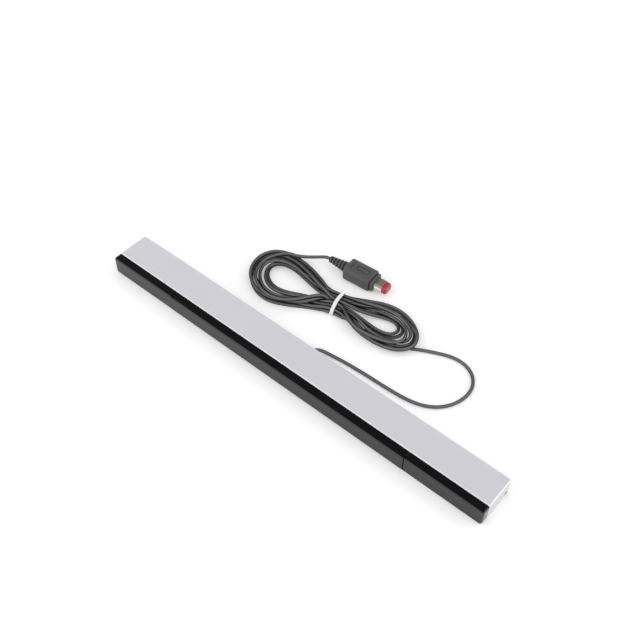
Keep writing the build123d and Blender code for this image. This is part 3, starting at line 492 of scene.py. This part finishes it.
def plated(name, base, roughness, cloud_mm):
    """A plated metal with slightly uneven gloss."""
    material, tree, output = new_material(name)
    place = add_node(tree, "ShaderNodeTexCoord")
    cloud = add_node(
        tree,
        "ShaderNodeTexNoise",
        inputs={"Vector": place.outputs["Object"], "Scale": 1 / (cloud_mm * MM), "Detail": 3.0},
    )
    gloss = add_node(
        tree,
        "ShaderNodeMapRange",
        inputs={
            "Value": cloud.outputs["Fac"],
            "To Min": roughness * (1 - PLATING_SPREAD),
            "To Max": roughness * (1 + PLATING_SPREAD),
        },
    )
    surface = add_node(
        tree,
        "ShaderNodeBsdfPrincipled",
        inputs={
            "Base Color": colour(base),
            "Metallic": 1.0,
            "Roughness": gloss.outputs["Result"],
        },
    )
    tree.links.new(surface.outputs["BSDF"], output.inputs["Surface"])
    return material


zinc_steel = plated("zinc_plated_steel", "#A9A9AC", 0.35, 1.5)
tinned_copper = plated("tinned_copper_wire", "#B9B9B6", 0.3, 1.0)
nickel_shell = plated("nickel_plated_contact", "#EDEDEA", 0.2, 2.0)
tongue_steel = plated("dull_plated_tongue", "#A5A598", 0.5, 2.0)
dress("led_legs_left", tinned_copper)
dress("led_legs_right", tinned_copper)
dress("clamp_screw", zinc_steel)
print("metals ready")

# %% [markdown]
# ## Making meshes
#
# Most of the plug and the tie are turned or stacked from outlines. One helper joins
# rings of points into a closed skin, which covers lofts, turned parts and bands, and a
# Bevel modifier then softens the edges that a mould would leave round.

# %% Mesh helpers
SHARP_DEG = 35.0


def link(name, mesh):
    """A new object for a mesh, at the origin."""
    piece = bpy.data.objects.new(name, mesh)
    bpy.context.scene.collection.objects.link(piece)
    return piece


def skin(name, rings, capped=True):
    """A closed mesh through rings of points in millimetres, all with as many points."""
    form = bmesh.new()
    rows = [[form.verts.new(Vector(place) * MM) for place in ring] for ring in rings]
    if not capped:
        rows.append(rows[0])
    for lower, upper in zip(rows, rows[1:]):
        for number, start in enumerate(lower):
            after = (number + 1) % len(lower)
            form.faces.new((start, lower[after], upper[after], upper[number]))
    if capped:
        form.faces.new(list(reversed(rows[0])))
        form.faces.new(rows[-1])
    bmesh.ops.recalc_face_normals(form, faces=form.faces)
    mesh = bpy.data.meshes.new(name)
    form.to_mesh(mesh)
    form.free()
    return link(name, mesh)


def soften(piece, width_mm, segments=3, angle_deg=28.0):
    """Rounds a piece's sharp edges and shades it smooth, as a plain mesh."""
    bevel = piece.modifiers.new("rounded_edges", "BEVEL")
    bevel.width = width_mm * MM
    bevel.segments = segments
    bevel.limit_method = "ANGLE"
    bevel.angle_limit = math.radians(angle_deg)
    bevel.harden_normals = False
    plain_mesh(piece)
    piece.data.shade_smooth()
    return piece


def plain_mesh(piece):
    """Turns a piece's modifiers into its plain mesh."""
    bpy.context.view_layer.update()
    graph = bpy.context.evaluated_depsgraph_get()
    result = bpy.data.meshes.new_from_object(piece.evaluated_get(graph))
    old = piece.data
    piece.modifiers.clear()
    piece.data = result
    if old.users == 0:
        bpy.data.meshes.remove(old)
    return piece


def circle(radius, count, height=0.0):
    """Points of a circle about Z, in millimetres."""
    return [
        (
            radius * math.cos(2 * math.pi * number / count),
            radius * math.sin(2 * math.pi * number / count),
            height,
        )
        for number in range(count)
    ]


def oblong(width, height, radius, steps=5):
    """Points of a rounded oblong round the origin, in millimetres."""
    points = []
    for number, (side, rise) in enumerate(((1, 1), (-1, 1), (-1, -1), (1, -1))):
        for step in range(steps + 1):
            angle = math.pi / 2 * (number + step / steps)
            points.append(
                (
                    side * (width / 2 - radius) + radius * math.cos(angle),
                    rise * (height / 2 - radius) + radius * math.sin(angle),
                )
            )
    return points


def cut(piece, tool, operation="DIFFERENCE"):
    """Cuts a piece with a tool, or adds the tool to it, and removes the tool."""
    change = piece.modifiers.new("cut", "BOOLEAN")
    change.operation = operation
    change.solver = "EXACT"
    change.object = tool
    plain_mesh(piece)
    bpy.data.objects.remove(tool)
    piece.data.shade_smooth()
    piece.data.set_sharp_from_angle(angle=math.radians(SHARP_DEG))
    return piece


print("mesh helpers ready")

# %% [markdown]
# ## Rows of screws, LEDs and feet
#
# Two screws and two feet sit under the bar, and five infrared LEDs stand behind each
# window, fanned so that the outer ones look outwards. Each of these is one shape in a row,
# which is what Geometry Nodes do well: the tree lays points along a line, puts a copy of
# the piece on each, and turns each copy by its number. The row is then made one plain mesh.

# %% Row tree
def row_tree():
    """A node tree for copies in a row, and the identifiers of its inputs by name."""
    tree = bpy.data.node_groups.new("row_of_copies", "GeometryNodeTree")
    identifiers = {}
    for name, kind in (
        ("Piece", "NodeSocketGeometry"),
        ("Count", "NodeSocketInt"),
        ("Start", "NodeSocketVector"),
        ("Step", "NodeSocketVector"),
        ("Fan", "NodeSocketFloat"),
        ("Finish", "NodeSocketMaterial"),
    ):
        socket = tree.interface.new_socket(name, in_out="INPUT", socket_type=kind)
        identifiers[name] = socket.identifier
    tree.interface.new_socket("Row", in_out="OUTPUT", socket_type="NodeSocketGeometry")
    given = add_node(tree, "NodeGroupInput").outputs
    line = add_node(
        tree,
        "GeometryNodeMeshLine",
        inputs={
            "Count": given["Count"],
            "Start Location": given["Start"],
            "Offset": given["Step"],
        },
    )
    number = add_node(tree, "GeometryNodeInputIndex")
    last = worked_out(tree, "SUBTRACT", given["Count"], 1.0)
    from_middle = worked_out(tree, "MULTIPLY_ADD", last, -0.5, number.outputs[0])
    turn = worked_out(tree, "MULTIPLY", from_middle, given["Fan"])
    angles = add_node(tree, "ShaderNodeCombineXYZ", inputs={"Z": turn})
    rotation = add_node(
        tree, "FunctionNodeEulerToRotation", inputs={"Euler": angles.outputs[0]}
    )
    copies = add_node(
        tree,
        "GeometryNodeInstanceOnPoints",
        inputs={
            "Points": line.outputs[0],
            "Instance": given["Piece"],
            "Rotation": rotation.outputs[0],
        },
    )
    solid = add_node(
        tree, "GeometryNodeRealizeInstances", inputs={"Geometry": copies.outputs[0]}
    )
    finished = add_node(
        tree,
        "GeometryNodeSetMaterial",
        inputs={"Geometry": solid.outputs[0], "Material": given["Finish"]},
    )
    add_node(tree, "NodeGroupOutput", inputs={"Row": finished.outputs[0]})
    return tree, identifiers


row_group, row_inputs = row_tree()


def in_a_row(piece, count, start, step, finish, fan_deg=0.0):
    """Repeats a piece with the row tree, and keeps the row as its plain mesh."""
    row = piece.modifiers.new("row", "NODES")
    row.node_group = row_group
    for name, value in (
        ("Count", count),
        ("Start", [value * MM for value in start]),
        ("Step", [value * MM for value in step]),
        ("Fan", math.radians(fan_deg)),
        ("Finish", finish),
    ):
        row[row_inputs[name]] = value
    return plain_mesh(piece)


print("row tree ready")

# %% Housing screws
SCREW_SPREAD = 91.2
SCREW_Y = 5.9
SCREW_PROFILE = (
    (1.3, 1.0), (1.75, 1.1), (2.02, 1.35), (2.1, 1.7), (2.1, 2.4), (0.95, 2.4),
)
SCREW_TIP = ((0.72, 8.1), (0.25, 8.7))
SCREW_SIDES = 24
THREAD_START = 3.0
THREAD_PITCH = 0.55
THREAD_TURNS = 9
THREAD_ROOT = 0.72
THREAD_CREST = 0.95
RECESS_LENGTH = 2.1
RECESS_WIDTH = 0.5
RECESS_CORNER = 0.05
RECESS_HEIGHTS = (0.8, 1.75)

thread_profile = []
for turn in range(THREAD_TURNS):
    foot = THREAD_START + turn * THREAD_PITCH
    thread_profile += [(THREAD_ROOT, foot), (THREAD_CREST, foot + THREAD_PITCH / 2)]
screw_profile = [*SCREW_PROFILE, *thread_profile, *SCREW_TIP]
screws = skin("housing_screw", [circle(r, SCREW_SIDES, z) for r, z in screw_profile])
for width, depth in ((RECESS_LENGTH, RECESS_WIDTH), (RECESS_WIDTH, RECESS_LENGTH)):
    slot = oblong(width, depth, RECESS_CORNER)
    cut(screws, skin("cross_recess", [[(x, y, z) for x, y in slot] for z in RECESS_HEIGHTS]))
in_a_row(screws, 2, (-SCREW_SPREAD / 2, SCREW_Y, 0), (SCREW_SPREAD, 0, 0), zinc_steel)
print("screw faces:", len(screws.data.polygons))

# %% Infrared LEDs
LED_RADIUS = 2.5
LED_SIDES = 24
LED_RIM_RADIUS = 2.85
LED_RIM = 1.0
LED_BARREL = 5.4
LED_COUNT = 5
LED_PITCH = 6.5
LED_FAN_DEG = 9.0
LED_MIDDLE_X = 99.4
LED_FOOT_Y = -1.55
LED_Z = 5.35
LED_DOME_STEPS = 8
LED_DOME_STEP_DEG = 12
LED_EDGE = 0.08

led_profile = [(LED_RIM_RADIUS, 0.0), (LED_RIM_RADIUS, LED_RIM), (LED_RADIUS, LED_RIM)]
for part in range(LED_DOME_STEPS):
    angle = math.radians(LED_DOME_STEP_DEG * part)
    led_profile.append(
        (LED_RADIUS * math.cos(angle), LED_BARREL + LED_RADIUS * math.sin(angle))
    )
led_rows = {}
for side, word in ((-1, "left"), (1, "right")):
    rings = [
        [(a, -length, b) for a, b, _ in circle(radius, LED_SIDES)]
        for radius, length in led_profile
    ]
    leds = soften(skin(f"infrared_leds_{word}", rings), LED_EDGE, segments=2, angle_deg=50.0)
    first_x = side * LED_MIDDLE_X - LED_PITCH * (LED_COUNT - 1) / 2
    first_place = (first_x, LED_FOOT_Y, LED_Z)
    in_a_row(leds, LED_COUNT, first_place, (LED_PITCH, 0, 0), clear_epoxy, LED_FAN_DEG)
    led_rows[word] = leds
print("LEDs a side:", LED_COUNT)

# %% Feet
FOOT_LENGTH = 22.0
FOOT_WIDTH = 8.0
FOOT_HEIGHT = 0.9
FOOT_CORNER = 2.4
FOOT_EDGE = 0.22
FOOT_X = 98.0
FOOT_Y = 1.5
foot_outline = oblong(FOOT_LENGTH, FOOT_WIDTH, FOOT_CORNER)
feet = skin("soft_feet", [[(x, y, z) for x, y in foot_outline] for z in (0, FOOT_HEIGHT)])
soften(feet, FOOT_EDGE)
in_a_row(feet, 2, (-FOOT_X, FOOT_Y, 0), (2 * FOOT_X, 0, 0), foot_elastomer)
print("feet at", FOOT_X, "mm each side")

# %% [markdown]
# ## Tie
#
# The hank is held by a flat white vinyl tie. It is drawn round fifteen strands, which lie
# in rows of seven, six and two like stacked pipes. In each direction the tie touches the
# strand that reaches furthest, so its outline is found by asking, step by step round the
# bundle, which strand that is.

# %% Tie
TIE_PLACE = Vector((-11.3, 48.2, 0.0))
WAIST_TURN = math.radians(13.0)
WAIST_PITCH = 2.3
WAIST_LIFT = 1.42
WAIST_RISE = 1.51
WAIST_CORNERS = ((-3, 0), (3, 0), (-2.5, 1), (2.5, 1), (-1, 2), (0, 2))
TIE_WIDTH = 2.0
TIE_WALL = 0.45
TIE_GAP = 0.04
TIE_EDGE = 0.1
TIE_STEPS = 48
waist_along = Vector((math.cos(WAIST_TURN), math.sin(WAIST_TURN), 0.0))
waist_across = Vector((-math.sin(WAIST_TURN), math.cos(WAIST_TURN), 0.0))


def drawn_round(reach, along):
    """An outline drawn tight round the strands at the waist, a reach out from their lines."""
    outline = []
    for step in range(TIE_STEPS):
        angle = 2 * math.pi * (step + 0.5) / TIE_STEPS
        side, rise = math.cos(angle), math.sin(angle)
        column, row = max(
            WAIST_CORNERS,
            key=lambda place: place[0] * WAIST_PITCH * side + place[1] * WAIST_RISE * rise,
        )
        outline.append(
            TIE_PLACE
            + waist_along * along
            + waist_across * (column * WAIST_PITCH + side * reach)
            + Vector((0, 0, WAIST_LIFT + row * WAIST_RISE + rise * reach))
        )
    return outline


inner_reach = CORD_DIAMETER / 2 + TIE_GAP
outer_reach = inner_reach + TIE_WALL
tie_rings = [
    drawn_round(inner_reach, -TIE_WIDTH / 2),
    drawn_round(outer_reach, -TIE_WIDTH / 2),
    drawn_round(outer_reach, TIE_WIDTH / 2),
    drawn_round(inner_reach, TIE_WIDTH / 2),
]
tie = soften(skin("hank_tie", tie_rings, capped=False), TIE_EDGE, segments=2, angle_deg=50.0)
white_vinyl = moulded("white_vinyl_tie", "#F2F2F2", 0.4, 0.4, 0.05, tint=0.02)
tie.data.materials.append(white_vinyl)
print("tie faces:", len(tie.data.polygons))

# %% [markdown]
# ## Plug
#
# The plug is moulded in grey vinyl: a ribbed boot that lets the cord bend, an eight-sided
# grip body with a sunk panel outline and a raised cross ridge, and a stepped collar. Each
# part is a stack of outlines across the plug's axis. The boot's ribs are turned rings with
# rounded crests, because on the real part they are moulded round the cord.

# %% Plug body
BOOT_LENGTH = 11.8
BODY_LENGTH = 16.6
BODY_WIDTH = 11.2
BODY_HEIGHT = 8.6
BODY_CHAMFER = 1.3
BODY_RIM = 0.35
BODY_EDGE = 0.18
COLLAR_LENGTH = 2.0
COLLAR_INSET = 0.9
NECK_LENGTH = 0.5
NECK_DROP = 0.25
RIM_CHAMFER_SHARE = 0.4
COLLAR_CHAMFER_SHARE = 0.5


def on_plug(distance, across, up):
    """A point in millimetres, from its distances along, across and above the plug's axis."""
    return PLUG_TIP + PLUG_ALONG * distance + PLUG_ACROSS * across + Vector((0, 0, up))


def eight_sided(distance, inset, chamfer_share):
    """An outline across the plug: the body's rectangle, inset, with its corners cut off."""
    w, h = BODY_WIDTH / 2 - inset, BODY_HEIGHT / 2 - inset
    corner = BODY_CHAMFER - inset * chamfer_share
    outline = (
        (w, h - corner), (w - corner, h), (corner - w, h), (-w, h - corner),
        (-w, corner - h), (corner - w, -h), (w - corner, -h), (w, corner - h),
    )
    return [on_plug(distance, across, up) for across, up in outline]


body_end = BOOT_LENGTH + BODY_LENGTH
neck_end = body_end + NECK_LENGTH
neck_inset = COLLAR_INSET + NECK_DROP
body_stations = (
    (BOOT_LENGTH, BODY_RIM, RIM_CHAMFER_SHARE),
    (BOOT_LENGTH + BODY_RIM, 0.0, 0.0),
    (body_end - BODY_RIM, 0.0, 0.0),
    (body_end, BODY_RIM, RIM_CHAMFER_SHARE),
    (body_end, neck_inset, COLLAR_CHAMFER_SHARE),
    (neck_end, neck_inset, COLLAR_CHAMFER_SHARE),
    (neck_end, COLLAR_INSET, COLLAR_CHAMFER_SHARE),
    (body_end + COLLAR_LENGTH, COLLAR_INSET, COLLAR_CHAMFER_SHARE),
)
plug_body = skin("plug_grip_body", [eight_sided(*station) for station in body_stations])
soften(plug_body, BODY_EDGE, angle_deg=20.0)
print("plug body faces:", len(plug_body.data.polygons))

# %% Plug panel outline and cross ridge
PANEL_LENGTH = 8.0
PANEL_WIDTH = 3.2
PANEL_LINE = 0.42
PANEL_DEPTH = 0.2
PANEL_FORWARD = 1.6
PANEL_CORNER_SHARE = 0.35
RIDGE_BACK = 5.6
RIDGE_LENGTH = 4.2
RIDGE_WIDTH = 0.7
RIDGE_RISE = 0.45
RIDGE_SINK = 0.2
RIDGE_SETBACK = 0.3
RIDGE_CREST_SHARE = 0.6
RIDGE_CORNER_SHARE = 0.3
RIDGE_CREST_CORNER_SHARE = 0.2
RIDGE_SHOULDER_SHARE = 0.5


def on_body_top(forward, outline, rise):
    """Points of an outline laid on the top of the grip body, at a rise above it."""
    middle = BOOT_LENGTH + BODY_LENGTH / 2 + forward
    return [on_plug(middle + a, b, BODY_HEIGHT / 2 + rise) for a, b in outline]


panel_corner = PANEL_WIDTH * PANEL_CORNER_SHARE
panel_rim = oblong(PANEL_LENGTH, PANEL_WIDTH, panel_corner)
panel_core = oblong(
    PANEL_LENGTH - 2 * PANEL_LINE,
    PANEL_WIDTH - 2 * PANEL_LINE,
    panel_corner - PANEL_LINE,
)
groove = skin(
    "panel_groove",
    [
        on_body_top(PANEL_FORWARD, panel_rim, -PANEL_DEPTH),
        on_body_top(PANEL_FORWARD, panel_rim, PANEL_DEPTH),
        on_body_top(PANEL_FORWARD, panel_core, PANEL_DEPTH),
        on_body_top(PANEL_FORWARD, panel_core, -PANEL_DEPTH),
    ],
    capped=False,
)
cut(plug_body, groove)
ridge_foot = oblong(RIDGE_WIDTH, RIDGE_LENGTH, RIDGE_WIDTH * RIDGE_CORNER_SHARE)
ridge_crest = oblong(
    RIDGE_WIDTH * RIDGE_CREST_SHARE,
    RIDGE_LENGTH - RIDGE_SETBACK,
    RIDGE_WIDTH * RIDGE_CREST_CORNER_SHARE,
)
ridge = skin(
    "cross_ridge",
    [
        on_body_top(-RIDGE_BACK, ridge_foot, -RIDGE_SINK),
        on_body_top(-RIDGE_BACK, ridge_foot, RIDGE_RISE * RIDGE_SHOULDER_SHARE),
        on_body_top(-RIDGE_BACK, ridge_crest, RIDGE_RISE),
    ],
)
cut(plug_body, ridge, "UNION")
print("plug body faces with panel:", len(plug_body.data.polygons))

# %% Plug boot
BOOT_TIP_RADIUS = 2.0
BOOT_ROOT_RADIUS = 3.2
BOOT_RIBS = 5
BOOT_GROOVE = 0.9
BOOT_CREST_SHARE = 0.64
BOOT_BASE = 1.4
BOOT_SIDES = 40
BOOT_MOUTH_SHARE = 0.86
BOOT_EDGE = 0.06
RIB_STEPS = 6
RIB_BULGE = 0.12
RIB_GAP = 0.02
GROOVE_START_GAP = 0.05
GROOVE_END_GAP = 0.03


def plug_ring(distance, radius):
    """A round outline across the plug."""
    return [on_plug(distance, a, b) for a, b, _ in circle(radius, BOOT_SIDES)]


rib_pitch = (BOOT_LENGTH - BOOT_BASE) / BOOT_RIBS
boot_rings = [plug_ring(0.0, BOOT_TIP_RADIUS * BOOT_MOUTH_SHARE)]
for rib in range(BOOT_RIBS):
    crest = BOOT_TIP_RADIUS + rib * (BOOT_ROOT_RADIUS - BOOT_TIP_RADIUS) / BOOT_RIBS
    start = rib * rib_pitch
    stop = start + rib_pitch * BOOT_CREST_SHARE
    for part in range(RIB_STEPS + 1):
        share = part / RIB_STEPS
        bulge = RIB_BULGE * math.sin(math.pi * share) ** 0.5 if 0 < part < RIB_STEPS else 0.0
        distance = start + RIB_GAP + (stop - start) * share
        boot_rings.append(plug_ring(distance, crest - RIB_BULGE + bulge))
    boot_rings.append(plug_ring(stop + GROOVE_START_GAP, crest - BOOT_GROOVE))
    boot_rings.append(plug_ring(start + rib_pitch - GROOVE_END_GAP, crest - BOOT_GROOVE))
boot_rings.append(plug_ring(BOOT_LENGTH - BOOT_BASE, BOOT_ROOT_RADIUS))
boot_rings.append(plug_ring(BOOT_LENGTH, BOOT_ROOT_RADIUS))
plug_boot = skin("plug_ribbed_boot", boot_rings)
soften(plug_boot, BOOT_EDGE, segments=2, angle_deg=35.0)
print("boot faces:", len(plug_boot.data.polygons))

# %% [markdown]
# ## Plug finishes
#
# The grip is grey vinyl with the fine matte grain of its mould, a little darker than the
# cord, and painted shade makes its grooves nearly black. The red tip is a moulded insert
# with a gloss, and light goes a little way into it.

# %% Plug materials
grip_vinyl = moulded("matte_grey_grip_vinyl", "#505052", 0.5, 0.3, 0.2, tint=0.05)
# Painted shade: the grip's grooves and crevices are darkened nearly to black.
painted_crevice_shade(grip_vinyl, "#0C0C0E", reach_mm=1.5)
plug_body.data.materials.append(grip_vinyl)
plug_boot.data.materials.append(grip_vinyl)
red_insert = moulded(
    "moulded_red_insert", "#B3293A", 0.3, 0.5, 0.05, tint=0.05,
    **{"Subsurface Weight": 0.1, "Subsurface Scale": 0.8 * MM},
)
dress("plug_tongue", tongue_steel)
dress("plug_contacts", nickel_shell)
dress("plug_tip", red_insert)
print("plug dressed")

# %% [markdown]
# ## Floor, light and background
#
# The photograph is a product picture on white, so the floor is a plain pale sheet and the
# light is soft and even. To the camera the floor and the world look white, while the floor
# still takes the object's shadow. Two large area lamps stand low, one at the right rear and
# one at the left front, so that the bevels of the silver shell catch them. Gloss reflects a
# pale room with a dark ceiling, which keeps the top of the smoked strip black. The world
# light fills in, at a level where a colour renders about as it is written.

# %% Floor
FLOOR_HALF_SIZE = 3.0
FLOOR_DROP = 0.0001
PAPER_LIFT = 0.22


def mixed_shader(tree, share, first, second):
    """A mix of two shaders' outputs, with none of the second where the share is 0."""
    mix = add_node(tree, "ShaderNodeMixShader", inputs={0: share, 1: first, 2: second})
    return mix.outputs[0]


def studio_paper():
    """White paper that looks a little lighter to the camera than the light it gives back."""
    material, tree, output = new_material("white_studio_paper")
    rays = add_node(tree, "ShaderNodeLightPath")
    paper = add_node(
        tree, "ShaderNodeBsdfDiffuse", inputs={"Color": colour("#F4F4F4"), "Roughness": 0.5}
    )
    lift = add_node(
        tree, "ShaderNodeEmission", inputs={"Color": colour("#FFFFFF"), "Strength": PAPER_LIFT}
    )
    lit_paper = add_node(
        tree, "ShaderNodeAddShader", inputs={0: paper.outputs[0], 1: lift.outputs[0]}
    )
    seen = worked_out(
        tree, "MAXIMUM", rays.outputs["Is Camera Ray"], rays.outputs["Is Glossy Ray"]
    )
    seen_through = worked_out(tree, "MAXIMUM", seen, rays.outputs["Is Transmission Ray"])
    surface = mixed_shader(tree, seen_through, paper.outputs[0], lit_paper.outputs[0])
    tree.links.new(surface, output.inputs["Surface"])
    return material


floor_form = bmesh.new()
bmesh.ops.create_grid(floor_form, x_segments=1, y_segments=1, size=FLOOR_HALF_SIZE)
floor_mesh = bpy.data.meshes.new("pale_floor")
floor_form.to_mesh(floor_mesh)
floor_form.free()
floor = link("pale_floor", floor_mesh)
floor.location.z = -FLOOR_DROP
floor.data.materials.append(studio_paper())
print("floor ready")

# %% World
FILL_LIGHT = 0.8
BACKDROP_LIGHT = 1.0
ROOM_LIGHT = 1.1
CEILING_LIGHT = 0.12
CEILING_LIMITS = (0.52, 0.7)


def white_light(tree, strength):
    """A white background of a strength, which is a number or an output socket."""
    light = add_node(
        tree,
        "ShaderNodeBackground",
        inputs={"Color": colour("#FFFFFF"), "Strength": strength},
    )
    return light.outputs[0]


def studio_world():
    """An even white world, which gloss sees as a pale room with a dark ceiling."""
    world = bpy.data.worlds.new("white_studio")
    world.use_nodes = True
    tree = world.node_tree
    tree.nodes.clear()
    output = add_node(tree, "ShaderNodeOutputWorld")
    rays = add_node(tree, "ShaderNodeLightPath")
    place = add_node(tree, "ShaderNodeTexCoord")
    direction = add_node(
        tree, "ShaderNodeSeparateXYZ", inputs={0: place.outputs["Generated"]}
    )
    ceiling = ranged(
        tree, direction.outputs["Z"], CEILING_LIMITS, ROOM_LIGHT, CEILING_LIGHT
    )
    room = mixed_shader(
        tree,
        rays.outputs["Is Glossy Ray"],
        white_light(tree, FILL_LIGHT),
        white_light(tree, ceiling),
    )
    backdrop = white_light(tree, BACKDROP_LIGHT)
    surface = mixed_shader(tree, rays.outputs["Is Camera Ray"], room, backdrop)
    tree.links.new(surface, output.inputs["Surface"])
    return world


bpy.context.scene.world = studio_world()
print("world ready")

# %% Lamps
LAMP_SIZE = 1.2
LAMP_WATTS = 4.0
LAMP_AIM = Vector((0.0, 0.02, 0.0))
LAMP_PLACES = {
    "right_rear_softbox": Vector((0.92, 0.61, 0.49)),
    "left_front_softbox": Vector((-0.45, -0.84, 0.56)),
}

for name, place in LAMP_PLACES.items():
    data = bpy.data.lights.new(name, "AREA")
    data.size = LAMP_SIZE
    data.energy = LAMP_WATTS
    lamp = bpy.data.objects.new(name, data)
    bpy.context.scene.collection.objects.link(lamp)
    lamp.location = place
    lamp.rotation_euler = (LAMP_AIM - place).to_track_quat("-Z", "Y").to_euler()
print("lamps ready")

# %% [markdown]
# ## Fixing the pieces to the frame
#
# Each piece made here stands for the solids that it replaces and rides on the one rigid
# body.

# %% Attach the pieces and hide what they replace
for piece, replaced in (
    (cord, ("cord_free_run", "cord_hank", "cord_plug_lead")),
    (tie, ("cord_tie",)),
    (plug_body, ("plug_body",)),
    (plug_boot, ("plug_boot",)),
    (screws, ("housing_screws",)),
    (led_rows["left"], ("ir_leds_left",)),
    (led_rows["right"], ("ir_leds_right",)),
    (feet, ("foot_pads",)),
):
    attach(piece, "root")
    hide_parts(*replaced)

# %% Colour management
bpy.context.scene.view_settings.view_transform = "Standard"
